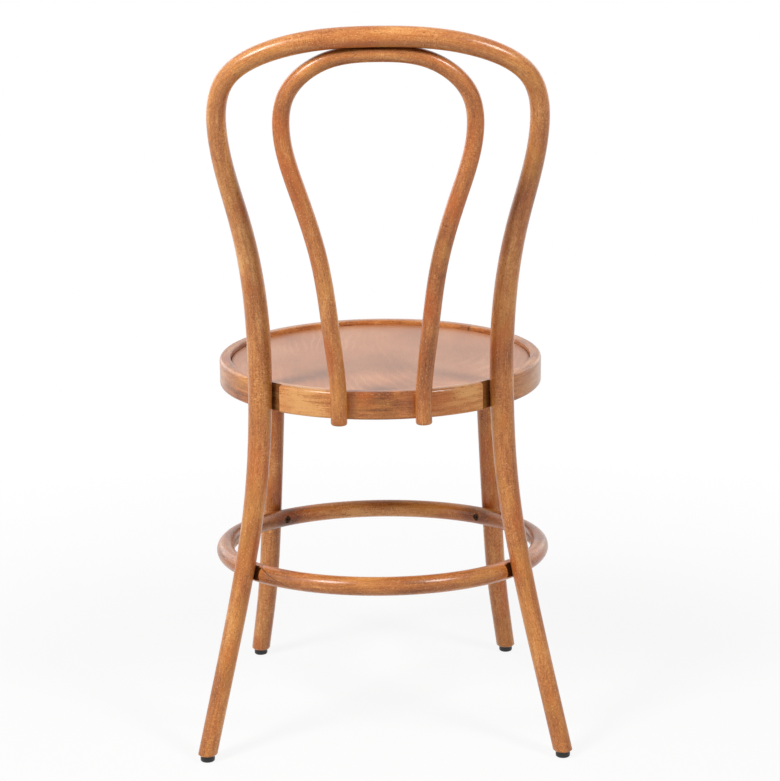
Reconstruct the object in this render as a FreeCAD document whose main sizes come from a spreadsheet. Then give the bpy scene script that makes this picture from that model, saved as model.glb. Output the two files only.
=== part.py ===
import FreeCAD, Part
import math
import os
import Sketcher

# A bentwood bistro chair, in millimetres.
# +Z is up and the sitter faces -Y, so the back leans towards +Y.
# The origin is on the floor, under the middle of the whole chair.
# Two rods of steam-bent beech make the back: the outer one is both rear legs and the hoop
# above them. A bent ring carries a sunk plywood seat, and a lower ring ties the four legs.

doc = FreeCAD.newDocument("bistro_chair")
sheet = doc.addObject("Spreadsheet::Sheet", "sizes")

# Driving dimensions. Heights of the hoops are above the seat rim or below the hoop's crown,
# and setbacks are measured backwards from the place where a rear leg meets the seat ring.
SIZES = [
    ("seat_height", 461), ("seat_radius", 203), ("seat_slope", 1.1),
    ("seat_ring_height", 34), ("seat_ring_width", 26), ("rim_width", 14),
    ("rim_round", 4.5), ("rim_inner_round", 1.5), ("ring_bottom_round", 3),
    ("panel_recess", 6), ("panel_thickness", 8), ("panel_gap", 0.4), ("panel_round", 1),
    ("rear_housing_depth", 7), ("rear_housing_width", 52), ("rear_leg_flat", 2.5),
    ("foot_end", 8), ("foot_chamfer", 1.6), ("trim_allowance", 12),
    ("rear_foot_splay", 71), ("rear_foot_setback", 64.8514), ("rear_foot_thick", 23.2),
    ("rear_ankle_splay", 24.5), ("rear_ankle_thick", 24.6),
    ("knee_height", 330), ("knee_splay", 7), ("knee_setback", 1.8), ("knee_thick", 26.8),
    ("rear_leg_angle", 44.5815), ("rear_leg_thick", 29),
    ("waist_rise", 89), ("waist_splay", 2), ("waist_setback", 9.5), ("waist_thick", 28.4),
    ("flank_rise", 199), ("flank_splay", 17), ("flank_setback", 42.5), ("flank_thick", 25.2),
    ("side_rise", 309), ("side_splay", 38), ("side_setback", 85), ("side_thick", 22.8),
    ("shoulder_rise", 373), ("shoulder_splay", 26), ("shoulder_setback", 109.5), ("shoulder_thick", 22.8),
    ("brow_rise", 409), ("brow_splay", -36), ("brow_setback", 123.5), ("brow_thick", 23.6),
    ("crown_rise", 421), ("crown_setback", 128), ("crown_thick", 24),
    ("crown_lean", 21), ("crown_flat", 0.5), ("crown_flat_length", 66),
    ("inner_foot_x", 50.5), ("inner_foot_drop", 5), ("inner_foot_thick", 19.8), ("inner_foot_flat", 2.5),
    ("inner_low_rise", 59), ("inner_low_x", 56.5), ("inner_thick", 20.6),
    ("inner_mid_rise", 159), ("inner_mid_x", 70),
    ("inner_flare_drop", 162), ("inner_flare_x", 92.5),
    ("inner_side_drop", 82), ("inner_side_x", 110.4), ("inner_side_thick", 20),
    ("inner_temple_drop", 49.4), ("inner_temple_x", 105),
    ("inner_brow_drop", 8.5), ("inner_brow_x", 60), ("inner_crown_thick", 19.6),
    ("front_leg_angle", 48.70757), ("front_leg_inset", 18), ("front_leg_thick", 29),
    ("front_thigh_splay", 4.5), ("front_thigh_thick", 28),
    ("front_ring_splay", 9.8), ("front_ring_thick", 27),
    ("front_shin_height", 100), ("front_shin_splay", 17.5), ("front_shin_reach", 39.4181),
    ("front_shin_thick", 25.6),
    ("front_foot_splay", 29.7), ("front_foot_reach", 56.9181), ("front_foot_thick", 24.4),
    ("leg_ring_height", 214), ("leg_ring_y", 20), ("leg_ring_radius", 200), ("leg_ring_thick", 22.8),
    ("leg_ring_tilt", 2.4), ("ring_housing_depth", 3.5), ("ring_housing_width", 33), ("front_saddle", 1.5),
    ("tenon_radius", 10), ("tenon_length", 18), ("fit_gap", 0.05), ("joint_gap", 0.2),
    ("block_depth", 30), ("block_width", 66), ("block_taper", 12), ("block_height", 19.6),
    ("bolt_radius", 4), ("bolt_in_leg", 18), ("bolt_tail", 3), ("bolt_drop", 24),
    ("washer_radius", 8), ("washer_thickness", 1.6), ("nut_across", 13), ("nut_thickness", 6.5),
    ("spotface_depth", 0.8), ("spotface_radius", 9),
    ("screw_radius", 2.25), ("screw_head_radius", 4.2), ("screw_head_height", 2.6), ("socket_across", 3),
    ("socket_depth", 1.6), ("head_clearance", 0.3), ("head_sink", 4),
    ("ring_screw_length", 30), ("hoop_screw_length", 38), ("crown_screw_length", 30),
    ("crown_screw_spread", 12), ("tenon_screw_length", 42), ("block_screw_length", 38),
    ("block_screw_spread", 23), ("wood_screw_drop", 24),
    ("glide_radius", 8.8), ("glide_round", 2.4), ("nail_radius", 1.2), ("nail_length", 24),
    ("nail_head_radius", 3), ("nail_head_thickness", 1.2), ("nail_sink", 1.8),
]
for row, (name, value) in enumerate(SIZES, 1):
    sheet.set("A%d" % row, name)
    sheet.set("B%d" % row, str(value))
    sheet.setAlias("B%d" % row, name)
doc.recompute()

V = FreeCAD.Vector
UP = V(0, 0, 1)
parts = []


def size(name):
    return float(sheet.get(name))


def bound(kind, label, placement, **sizes):
    """A Part primitive whose sizes are expressions of the sheet's cells."""
    item = doc.addObject(kind, label)
    for prop, expression in sizes.items():
        item.setExpression(prop, expression)
    item.Placement = placement
    return item


def boolean(kind, label, base, tools):
    """Base with every tool cut away, or fused to it."""
    if kind == "Part::MultiFuse":
        item = doc.addObject(kind, label)
        item.Shapes = [base] + tools
        return item
    tool = tools[0]
    if len(tools) > 1:
        tool = doc.addObject("Part::Compound", label + "_tools")
        tool.Links = tools
    item = doc.addObject(kind, label)
    item.Base = base
    item.Tool = tool
    return item


def node(item, name):
    item.Label = name
    parts.append(item)
    return item


def along(point, direction):
    """Placement at a point, with its own Z along a direction."""
    return FreeCAD.Placement(point, FreeCAD.Rotation(UP, direction))


def frame_at(point, normal, axis):
    """Placement at a point, with its own Y along the normal and Z as near the axis as it can be."""
    across = normal.cross(axis)
    return FreeCAD.Placement(point, FreeCAD.Rotation(across, normal, axis, "YZX"))


def polar(angle, distance, height):
    """Point at an angle from +Y towards +X round a vertical axis."""
    return V(distance * math.sin(angle), distance * math.cos(angle), height)


def outward(angle):
    return polar(angle, 1, 0)


# Places that several pieces share. The seat frame has its origin in the middle of the rim's
# top plane and slopes down to the rear; the leg ring's frame rises to the rear.
rear_leg_reach = (size("seat_radius") - size("rear_housing_depth")
                  + size("rear_leg_thick") / 2 - size("rear_leg_flat"))
rear_angle = math.radians(size("rear_leg_angle"))
rear_leg_x = rear_leg_reach * math.sin(rear_angle)
rear_leg_y = rear_leg_reach * math.cos(rear_angle)
crown_y = rear_leg_y + size("crown_setback")
seat_y = (size("seat_radius") - crown_y - size("crown_thick") / 2) / 2
seat_frame = FreeCAD.Placement(V(0, seat_y, size("seat_height")),
                               FreeCAD.Rotation(V(1, 0, 0), -size("seat_slope")))
ring_centre = V(0, seat_y + size("leg_ring_y"), size("leg_ring_height"))
ring_frame = FreeCAD.Placement(ring_centre, FreeCAD.Rotation(V(1, 0, 0), size("leg_ring_tilt")))
inner_reach = size("seat_radius") + size("inner_foot_thick") / 2 - size("inner_foot_flat")
inner_angle = math.asin(size("inner_foot_x") / inner_reach)
front_reach = size("seat_radius") - size("front_leg_inset")
front_angle = math.pi - math.radians(size("front_leg_angle"))
front_leg_x = front_reach * math.sin(front_angle)
front_leg_y = front_reach * math.cos(front_angle)
block_inner = size("seat_radius") - size("seat_ring_width") - size("block_depth")


def on_leg_ring(side_x, reach, back):
    """Where a leg that stands reach from the leg ring's middle crosses the ring's tilted plane."""
    run = back * math.sqrt(reach ** 2 - side_x ** 2)
    rise = run * math.tan(math.radians(size("leg_ring_tilt")))
    return V(side_x, ring_centre.y + run, ring_centre.z + rise)


rear_cross_reach = (size("leg_ring_radius") + size("leg_ring_thick") / 2 - size("ring_housing_depth")
                    + size("rear_ankle_thick") / 2)
front_cross_reach = (size("leg_ring_radius") + size("leg_ring_thick") / 2 - size("front_saddle")
                     + size("front_ring_thick") / 2)
rear_cross = on_leg_ring(rear_leg_x + size("rear_ankle_splay"), rear_cross_reach, 1)
front_cross = on_leg_ring(front_leg_x + size("front_ring_splay"), front_cross_reach, -1)

# Where each foot stands, on the left; the right one is its mirror image.
rear_foot = (rear_leg_x + size("rear_foot_splay"), seat_y + rear_leg_y + size("rear_foot_setback"))
front_foot = (front_leg_x + size("front_foot_splay"), seat_y + front_leg_y - size("front_foot_reach"))


def smooth_path(stations):
    """Natural cubic spline through stations (x, y, z, thickness), run by chord length.

    Returns the spline's value as a function of length and the length at each station.
    """
    runs = [0.0]
    for a, b in zip(stations, stations[1:]):
        runs.append(runs[-1] + math.dist(a[:3], b[:3]))
    last = len(stations) - 1
    bends = [[0.0] * 4 for _ in stations]
    for k in range(4):
        ratio, value = [0.0] * (last + 1), [0.0] * (last + 1)
        for i in range(1, last):
            low, high = runs[i] - runs[i - 1], runs[i + 1] - runs[i]
            step = ((stations[i + 1][k] - stations[i][k]) / high
                    - (stations[i][k] - stations[i - 1][k]) / low)
            pivot = 2 * (low + high) - low * ratio[i - 1]
            ratio[i] = high / pivot
            value[i] = (6 * step - low * value[i - 1]) / pivot
        for i in range(last - 1, 0, -1):
            bends[i][k] = value[i] - ratio[i] * bends[i + 1][k]

    def at(run):
        i = max(j for j in range(last) if runs[j] <= run or j == 0)
        gap = runs[i + 1] - runs[i]
        a, b = (runs[i + 1] - run) / gap, (run - runs[i]) / gap
        return [a * stations[i][k] + b * stations[i + 1][k]
                + ((a ** 3 - a) * bends[i][k] + (b ** 3 - b) * bends[i + 1][k]) * gap * gap / 6
                for k in range(4)]

    return at, runs


def bent_rod(label, stations, steps):
    """Round rod of changing thickness that follows the spline through its stations."""
    at, runs = smooth_path(stations)
    rings = []
    for start, end in zip(runs, runs[1:]):
        for step in range(steps):
            rings.append(start + (end - start) * step / steps)
    rings.append(runs[-1])
    wires = []
    for run in rings:
        x, y, z, thick = at(run)
        before, after = at(max(run - 0.5, 0)), at(min(run + 0.5, runs[-1]))
        tangent = V(*after[:3]) - V(*before[:3])
        ring = Part.Circle(V(0, 0, 0), UP, thick / 2).toShape()
        ring.Placement = FreeCAD.Placement(V(x, y, z), FreeCAD.Rotation(V(0, 1, 0), V(), tangent, "ZXY"))
        wires.append(Part.Wire(ring))
    item = doc.addObject("Part::Feature", label)
    item.Shape = Part.makeLoft(wires, True, True)
    return item


def with_tail(stations, length):
    """The stations with one more, run on in a straight line past the first."""
    first, second = V(*stations[0][:3]), V(*stations[1][:3])
    tail = first + (first - second).normalize() * length
    return [(tail.x, tail.y, tail.z, stations[0][3])] + stations


def mirrored(stations):
    return stations + [(-x, y, z, thick) for x, y, z, thick in reversed(stations[:-1])]


def tangent_at(stations, index):
    at, runs = smooth_path(stations)
    before, after = at(runs[index] - 1), at(runs[index] + 1)
    return (V(*after[:3]) - V(*before[:3])).normalize()


def socket_screw(label, place, length):
    """Cylinder-head wood screw: place's Z runs from under the head to the tip."""
    shank = bound("Part::Cylinder", label + "_shank", place, Radius="sizes.screw_radius", Height=length)
    head_place = place * FreeCAD.Placement(V(0, 0, -size("screw_head_height")), FreeCAD.Rotation())
    head = bound("Part::Cylinder", label + "_head", head_place,
                 Radius="sizes.screw_head_radius", Height="sizes.screw_head_height")
    socket = bound("Part::Prism", label + "_socket", head_place,
                   Circumradius="sizes.socket_across / sqrt(3)", Height="sizes.socket_depth")
    socket.Polygon = 6
    whole = boolean("Part::MultiFuse", label + "_blank", shank, [head])
    return boolean("Part::Cut", label, whole, [socket])


def screw_bore(label, place, length, mouth):
    """Hole for a screw: its shank's bore and a counterbore that runs mouth past the head."""
    shank = bound("Part::Cylinder", label + "_bore", place,
                  Radius="sizes.screw_radius + sizes.fit_gap", Height=length + " + sizes.joint_gap")
    back = place * FreeCAD.Placement(V(0, 0, -mouth), FreeCAD.Rotation())
    head = bound("Part::Cylinder", label + "_sink", back,
                 Radius="sizes.screw_head_radius + sizes.head_clearance", Height=str(mouth))
    return [shank, head]


def group(name, items):
    item = doc.addObject("Part::Compound", name)
    item.Links = items
    return node(item, name)


SIDES = (("left", 1), ("right", -1))

# Fastener places, worked out once so that a screw and every hole it passes agree.
# Each place's Z points from the head to the tip.
ring_screw_seat = size("leg_ring_radius") - size("leg_ring_thick") / 2 + size("head_sink")
hoop_screw_seat = size("seat_radius") - size("seat_ring_width") + size("head_sink")
block_screw_seat = block_inner + size("head_sink")
places = {"leg_ring": [], "rear_bolt": [], "inner_hoop": [], "tenon": [], "block": [], "crown": []}
for side, sign in SIDES:
    for cross in (rear_cross, front_cross):
        leg = V(sign * cross.x, cross.y, cross.z)
        local = ring_frame.inverse().multVec(leg)
        angle = math.atan2(local.x, local.y)
        start = polar(angle, ring_screw_seat, 0)
        places["leg_ring"].append(ring_frame * along(start, outward(angle)))
    angle = sign * rear_angle
    nut_face = size("seat_radius") - size("seat_ring_width") + size("spotface_depth")
    start = polar(angle, nut_face, -size("bolt_drop"))
    places["rear_bolt"].append(seat_frame * along(start, outward(angle)))
    angle = sign * inner_angle
    start = polar(angle, hoop_screw_seat, -size("wood_screw_drop"))
    places["inner_hoop"].append(seat_frame * along(start, outward(angle)))
    angle = sign * front_angle
    start = polar(angle, block_screw_seat, -size("wood_screw_drop"))
    places["tenon"].append(seat_frame * along(start, outward(angle)))
    for spread in (-size("block_screw_spread"), size("block_screw_spread")):
        shift = polar(angle + math.pi / 2, spread, 0)
        places["block"].append(seat_frame * along(start + shift, outward(angle)))

# Crown joint: the inner hoop hangs under the outer one along the lean of the back, each with
# a shallow flat, and two screws go up through the inner rod.
crown = V(0, seat_y + crown_y, size("seat_height") + size("crown_rise"))
lean = math.radians(size("crown_lean"))
down = V(0, -math.sin(lean), -math.cos(lean))
flat_point = crown + down * (size("crown_thick") / 2 - size("crown_flat"))
inner_crown = flat_point + down * (size("inner_crown_thick") / 2 - size("crown_flat"))
for side, sign in SIDES:
    start = inner_crown + down * (size("inner_crown_thick") / 2 - size("head_sink"))
    start = start + V(sign * size("crown_screw_spread"), 0, 0)
    places["crown"].append(along(start, down * -1))

# Back frame: one rod of bent beech from the left foot over the crown to the right foot.
# It is planed flat and bored where it meets the seat ring, and bored at the leg ring.
seat_mid = seat_frame.multVec(polar(rear_angle, rear_leg_reach, -size("seat_ring_height") / 2))
rim = size("seat_height")


def back_station(name):
    """A station of the back above the knee: each is splayed from the leg, behind it and above the rim."""
    return (rear_leg_x + size(name + "_splay"), seat_y + rear_leg_y + size(name + "_setback"),
            rim + size(name + "_rise"), size(name + "_thick"))


rear_leg_half = with_tail([
    (*rear_foot, size("foot_end"), size("rear_foot_thick")),
    (rear_cross.x, rear_cross.y, rear_cross.z, size("rear_ankle_thick")),
    (rear_leg_x + size("knee_splay"), seat_y + rear_leg_y + size("knee_setback"), size("knee_height"),
     size("knee_thick")),
    (seat_mid.x, seat_mid.y, seat_mid.z, size("rear_leg_thick")),
    back_station("waist"),
    back_station("flank"),
    back_station("side"),
    back_station("shoulder"),
    back_station("brow"),
    (0, crown.y, crown.z, size("crown_thick")),
], size("trim_allowance"))


REAR_CROSS_STATION = 2


def foot_trim(label, x, y, thick):
    """Cutter for a foot: a level end at the glide's top and a turned chamfer round it."""
    corner = V(x - size("trim_allowance") * 2, y - size("trim_allowance") * 2,
               size("foot_end") - 2 * size("trim_allowance"))
    stock = bound("Part::Box", label + "_stock", FreeCAD.Placement(corner, FreeCAD.Rotation()),
                  Length="4 * sizes.trim_allowance", Width="4 * sizes.trim_allowance",
                  Height="2 * sizes.trim_allowance + sizes.foot_chamfer")
    keep = bound("Part::Cone", label + "_keep",
                 FreeCAD.Placement(V(x, y, size("foot_end")), FreeCAD.Rotation()),
                 Radius1="sizes.%s / 2 - sizes.foot_chamfer" % thick,
                 Radius2="sizes.%s / 2 + 0.7 * sizes.foot_chamfer" % thick,
                 Height="sizes.foot_chamfer")
    return boolean("Part::Cut", label, stock, [keep])


def nail_bore(label, x, y):
    return bound("Part::Cylinder", label, FreeCAD.Placement(V(x, y, 0), FreeCAD.Rotation()),
                 Radius="sizes.nail_radius + sizes.fit_gap",
                 Height="sizes.nail_sink + sizes.nail_length + sizes.joint_gap")


def centred_box(label, place, length, width, height):
    """Box whose own X and Z are centred on the place, and whose Y starts there and runs inwards."""
    shift = FreeCAD.Placement(V(-length[1] / 2, -width[1], -height[1] / 2), FreeCAD.Rotation())
    return bound("Part::Box", label, place * shift, Length=length[0], Width=width[0], Height=height[0])


rod = bent_rod("back_rod", mirrored(rear_leg_half), 5)
tools = []
for side, sign in SIDES:
    x, y = sign * rear_foot[0], rear_foot[1]
    tools.append(foot_trim("rear_foot_trim_" + side, x, y, "rear_foot_thick"))
    tools.append(nail_bore("rear_nail_bore_" + side, x, y))
    # The flat that bears on the floor of the seat ring's housing, as tall as the ring.
    bearing = size("seat_radius") - size("rear_housing_depth")
    middle = polar(sign * rear_angle, bearing, -size("seat_ring_height") / 2)
    place = seat_frame * frame_at(middle, outward(sign * rear_angle), UP)
    tools.append(centred_box("rear_flat_" + side, place,
                             ("sizes.rear_housing_width", size("rear_housing_width")),
                             ("sizes.rear_leg_thick", size("rear_leg_thick")),
                             ("sizes.seat_ring_height + 2 * sizes.joint_gap",
                              size("seat_ring_height") + 2 * size("joint_gap"))))
for index, place in enumerate(places["rear_bolt"]):
    tools.append(bound("Part::Cylinder", "rear_bolt_bore_%d" % index, place,
                       Radius="sizes.bolt_radius + sizes.fit_gap",
                       Height="sizes.seat_ring_width - sizes.spotface_depth - sizes.rear_housing_depth"
                              " + sizes.bolt_in_leg + sizes.joint_gap"))
for index in (0, 2):
    tools += screw_bore("rear_ring_screw_%d" % index, places["leg_ring"][index],
                        "sizes.ring_screw_length", size("head_sink"))[:1]
for index, place in enumerate(places["crown"]):
    tools += screw_bore("crown_screw_%d" % index, place, "sizes.crown_screw_length", size("head_sink"))[:1]
# The crown's shallow flat, where the inner hoop bears.
flat_place = frame_at(flat_point, down * -1, V(1, 0, 0).cross(down * -1))
tools.append(centred_box("crown_flat_cut", flat_place,
                         ("sizes.crown_flat_length", size("crown_flat_length")),
                         ("sizes.crown_thick", size("crown_thick")),
                         ("sizes.crown_thick", size("crown_thick"))))
node(boolean("Part::Cut", "back_frame_cut", rod, tools), "back_frame")

# Inner hoop: a thinner bent rod. Its ends are scribed to the seat ring's rear face and screwed
# from inside the ring; its crown has a flat that bears under the outer hoop.
inner_top = inner_crown.z
rim_joint = seat_frame.multVec(polar(inner_angle, inner_reach, 0))
ring_underside = seat_frame.multVec(polar(inner_angle, inner_reach, -size("seat_ring_height")))


def on_inner_lean(z):
    """Depth of the inner hoop at a height: a straight lean from the seat rim to the crown."""
    return rim_joint.y + (inner_crown.y - rim_joint.y) * (z - rim_joint.z) / (inner_top - rim_joint.z)


def inner_station(x, z, thick):
    return (x, on_inner_lean(z), z, size(thick))


inner_stations = mirrored([
    (ring_underside.x, ring_underside.y, ring_underside.z - size("inner_foot_drop"),
     size("inner_foot_thick")),
    (rim_joint.x, rim_joint.y, rim_joint.z, size("inner_foot_thick")),
    inner_station(size("inner_low_x"), rim + size("inner_low_rise"), "inner_thick"),
    inner_station(size("inner_mid_x"), rim + size("inner_mid_rise"), "inner_thick"),
    inner_station(size("inner_flare_x"), inner_top - size("inner_flare_drop"), "inner_thick"),
    inner_station(size("inner_side_x"), inner_top - size("inner_side_drop"), "inner_side_thick"),
    inner_station(size("inner_temple_x"), inner_top - size("inner_temple_drop"), "inner_side_thick"),
    inner_station(size("inner_brow_x"), inner_top - size("inner_brow_drop"), "inner_crown_thick"),
    (0, inner_crown.y, inner_top, size("inner_crown_thick")),
])
rod = bent_rod("inner_rod", inner_stations, 5)
scribe_base = seat_frame * FreeCAD.Placement(V(0, 0, -2 * size("seat_ring_height")), FreeCAD.Rotation())
tools = [bound("Part::Cylinder", "inner_scribe", scribe_base, Radius="sizes.seat_radius",
               Height="2 * sizes.seat_ring_height + sizes.joint_gap")]
for index, place in enumerate(places["inner_hoop"]):
    tools += screw_bore("inner_foot_screw_%d" % index, place, "sizes.hoop_screw_length",
                        size("head_sink"))[:1]
for index, place in enumerate(places["crown"]):
    tools += screw_bore("inner_crown_screw_%d" % index, place, "sizes.crown_screw_length",
                        2 * size("head_sink"))
flat_place = frame_at(flat_point, down, V(1, 0, 0).cross(down))
tools.append(centred_box("inner_flat_cut", flat_place,
                         ("sizes.crown_flat_length", size("crown_flat_length")),
                         ("sizes.crown_thick", size("crown_thick")),
                         ("sizes.crown_thick", size("crown_thick"))))
node(boolean("Part::Cut", "inner_hoop_cut", rod, tools), "inner_hoop")


# Seat ring: one strip of beech bent round and scarfed, rebated inside for the panel, notched
# outside for the two rear legs, and bored for the front legs' tenons and every fastener.
def origin_plane(body, role):
    return next(f for f in body.Origin.OriginFeatures if f.Role == role)


def new_body(name, placement):
    body = doc.addObject("PartDesign::Body", name)
    body.Placement = placement
    return body


def rectangle(sketch, left, right, low, high):
    """Rectangle in a sketch; each side is a pair of a value and the expression that drives it."""
    corners = [V(left[0], low[0], 0), V(right[0], low[0], 0),
               V(right[0], high[0], 0), V(left[0], high[0], 0)]
    first = len(sketch.Geometry)
    for a, b in zip(corners, corners[1:] + corners[:1]):
        sketch.addGeometry(Part.LineSegment(a, b), False)
    for k in range(4):
        sketch.addConstraint(Sketcher.Constraint("Coincident", first + k, 2, first + (k + 1) % 4, 1))
    for k, kind in enumerate(("Horizontal", "Vertical", "Horizontal", "Vertical")):
        sketch.addConstraint(Sketcher.Constraint(kind, first + k))
    for kind, (value, expression), corner in (("DistanceX", left, 0), ("DistanceX", right, 1),
                                              ("DistanceY", low, 0), ("DistanceY", high, 2)):
        index = sketch.addConstraint(Sketcher.Constraint(kind, -1, 1, first + corner, 1, value))
        sketch.setExpression("Constraints[%d]" % index, expression)


def sketch_on(body, name, role):
    sketch = body.newObject("Sketcher::SketchObject", name)
    sketch.AttachmentSupport = [(origin_plane(body, role), "")]
    sketch.MapMode = "FlatFace"
    return sketch


def revolve(body, kind, sketch, name):
    """Turn a profile sketch on the XZ plane once round the body's own Z."""
    turn = body.newObject(kind, name)
    turn.Profile = sketch
    turn.ReferenceAxis = (sketch, ["V_Axis"])
    turn.Angle = 360
    doc.recompute()
    return turn


def round_edges(body, base, name, radius, where):
    """Fillet every edge of the base that the test picks."""
    edges = ["Edge%d" % (k + 1) for k, edge in enumerate(base.Shape.Edges) if where(edge)]
    fillet = body.newObject("PartDesign::Fillet", name)
    fillet.Base = (base, edges)
    fillet.setExpression("Radius", radius)
    doc.recompute()
    return fillet


def circle_at(radius, height):
    """Test for a round edge of a radius at a height in the body's own frame."""
    def test(edge):
        curve = edge.Curve
        return (hasattr(curve, "Radius") and abs(curve.Radius - radius) < 0.01
                and abs(curve.Center.z - height) < 0.01)
    return test


outer, width = size("seat_radius"), size("seat_ring_width")
ring_low = -size("seat_ring_height")
rebate_floor = -size("panel_recess") - size("panel_thickness")
body = new_body("seat_ring_body", seat_frame)
sketch = sketch_on(body, "ring_section", "XZ_Plane")
rectangle(sketch, (outer - width, "sizes.seat_radius - sizes.seat_ring_width"),
          (outer, "sizes.seat_radius"), (ring_low, "-sizes.seat_ring_height"), (0.0, "0"))
ring_turn = revolve(body, "PartDesign::Revolution", sketch, "ring_turn")
sketch = sketch_on(body, "rebate_section", "XZ_Plane")
rectangle(sketch, (outer - width - 1, "sizes.seat_radius - sizes.seat_ring_width - 1"),
          (outer - size("rim_width"), "sizes.seat_radius - sizes.rim_width"),
          (rebate_floor, "-sizes.panel_recess - sizes.panel_thickness"), (1.0, "1"))
rebate = revolve(body, "PartDesign::Groove", sketch, "rebate")
edge = round_edges(body, rebate, "rim_rounding", "sizes.rim_round", circle_at(outer, 0))
edge = round_edges(body, edge, "rim_inner_rounding", "sizes.rim_inner_round",
                   circle_at(outer - size("rim_width"), 0))
edge = round_edges(body, edge, "bottom_rounding", "sizes.ring_bottom_round", circle_at(outer, ring_low))
tools = []
for side, sign in SIDES:
    angle = sign * rear_angle
    middle = polar(angle, outer - size("rear_housing_depth"), -size("seat_ring_height") / 2)
    place = seat_frame * frame_at(middle, outward(angle), UP)
    half = FreeCAD.Placement(V(-size("rear_housing_width") / 2, 0, -size("seat_ring_height")),
                             FreeCAD.Rotation())
    tools.append(bound("Part::Box", "rear_housing_" + side, place * half, Length="sizes.rear_housing_width",
                       Width="2 * sizes.rear_housing_depth", Height="2 * sizes.seat_ring_height"))
    spot = seat_frame * along(polar(angle, outer - width - size("spotface_radius"), -size("bolt_drop")),
                              outward(angle))
    tools.append(bound("Part::Cylinder", "rear_spotface_" + side, spot, Radius="sizes.spotface_radius",
                       Height="sizes.spotface_radius + sizes.spotface_depth"))
    tenon = seat_frame * FreeCAD.Placement(polar(sign * front_angle, front_reach, ring_low),
                                           FreeCAD.Rotation())
    tools.append(bound("Part::Cylinder", "ring_mortise_" + side, tenon,
                       Radius="sizes.tenon_radius + sizes.fit_gap",
                       Height="sizes.tenon_length + sizes.joint_gap"))
for index, place in enumerate(places["rear_bolt"]):
    tools.append(bound("Part::Cylinder", "ring_bolt_bore_%d" % index, place,
                       Radius="sizes.bolt_radius + sizes.fit_gap", Height="sizes.seat_ring_width"))
for index, place in enumerate(places["inner_hoop"]):
    tools += screw_bore("ring_hoop_screw_%d" % index, place, "sizes.hoop_screw_length",
                        2 * size("head_sink"))
for index, place in enumerate(places["tenon"]):
    tools += screw_bore("ring_tenon_screw_%d" % index, place, "sizes.tenon_screw_length",
                        size("head_sink"))[:1]
for index, place in enumerate(places["block"]):
    tools += screw_bore("ring_block_screw_%d" % index, place, "sizes.block_screw_length",
                        size("head_sink"))[:1]
node(boolean("Part::Cut", "seat_ring_cut", body, tools), "seat_ring")

# Seat panel: a plywood disc glued on the rebate's ledge, sunk below the rim.
panel_radius = outer - size("rim_width") - size("panel_gap")
body = new_body("seat_panel_body", seat_frame)
sketch = sketch_on(body, "panel_outline", "XY_Plane")
circle = sketch.addGeometry(Part.Circle(V(0, 0, 0), UP, panel_radius), False)
sketch.addConstraint(Sketcher.Constraint("Coincident", circle, 3, -1, 1))
index = sketch.addConstraint(Sketcher.Constraint("Radius", circle, panel_radius))
sketch.setExpression("Constraints[%d]" % index, "sizes.seat_radius - sizes.rim_width - sizes.panel_gap")
sketch.setExpression("AttachmentOffset.Base.z", "-sizes.panel_recess - sizes.panel_thickness")
pad = body.newObject("PartDesign::Pad", "panel_pad")
pad.Profile = sketch
pad.setExpression("Length", "sizes.panel_thickness")
doc.recompute()
round_edges(body, pad, "panel_rounding", "sizes.panel_round", circle_at(panel_radius, -size("panel_recess")))
node(body, "seat_panel")

# Leg ring: a round rod bent into a hoop and scarfed. It lies inside all four legs, housed flat
# for the rear ones and let into saddles in the front ones, with a screw into each.
ring = bound("Part::Torus", "leg_ring_rod", ring_frame, Radius1="sizes.leg_ring_radius",
             Radius2="sizes.leg_ring_thick / 2")
tools = []
for side, sign in SIDES:
    heading = tangent_at(rear_leg_half, REAR_CROSS_STATION)
    heading = V(sign * heading.x, heading.y, heading.z)
    leg = V(sign * rear_cross.x, rear_cross.y, rear_cross.z)
    out = leg - ring_centre
    out = (out - heading * out.dot(heading)).normalize()
    floor = leg - out * (size("rear_ankle_thick") / 2 + size("joint_gap"))
    place = frame_at(floor, out, heading)
    half = FreeCAD.Placement(V(-size("ring_housing_width") / 2, 0, -size("leg_ring_thick")),
                             FreeCAD.Rotation())
    tools.append(bound("Part::Box", "ring_housing_" + side, place * half, Length="sizes.ring_housing_width",
                       Width="sizes.leg_ring_thick", Height="2 * sizes.leg_ring_thick"))
for index, place in enumerate(places["leg_ring"]):
    tools += screw_bore("leg_ring_screw_hole_%d" % index, place, "sizes.ring_screw_length",
                        2 * size("head_sink"))
node(boolean("Part::Cut", "leg_ring_cut", ring, tools), "leg_ring")

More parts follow.
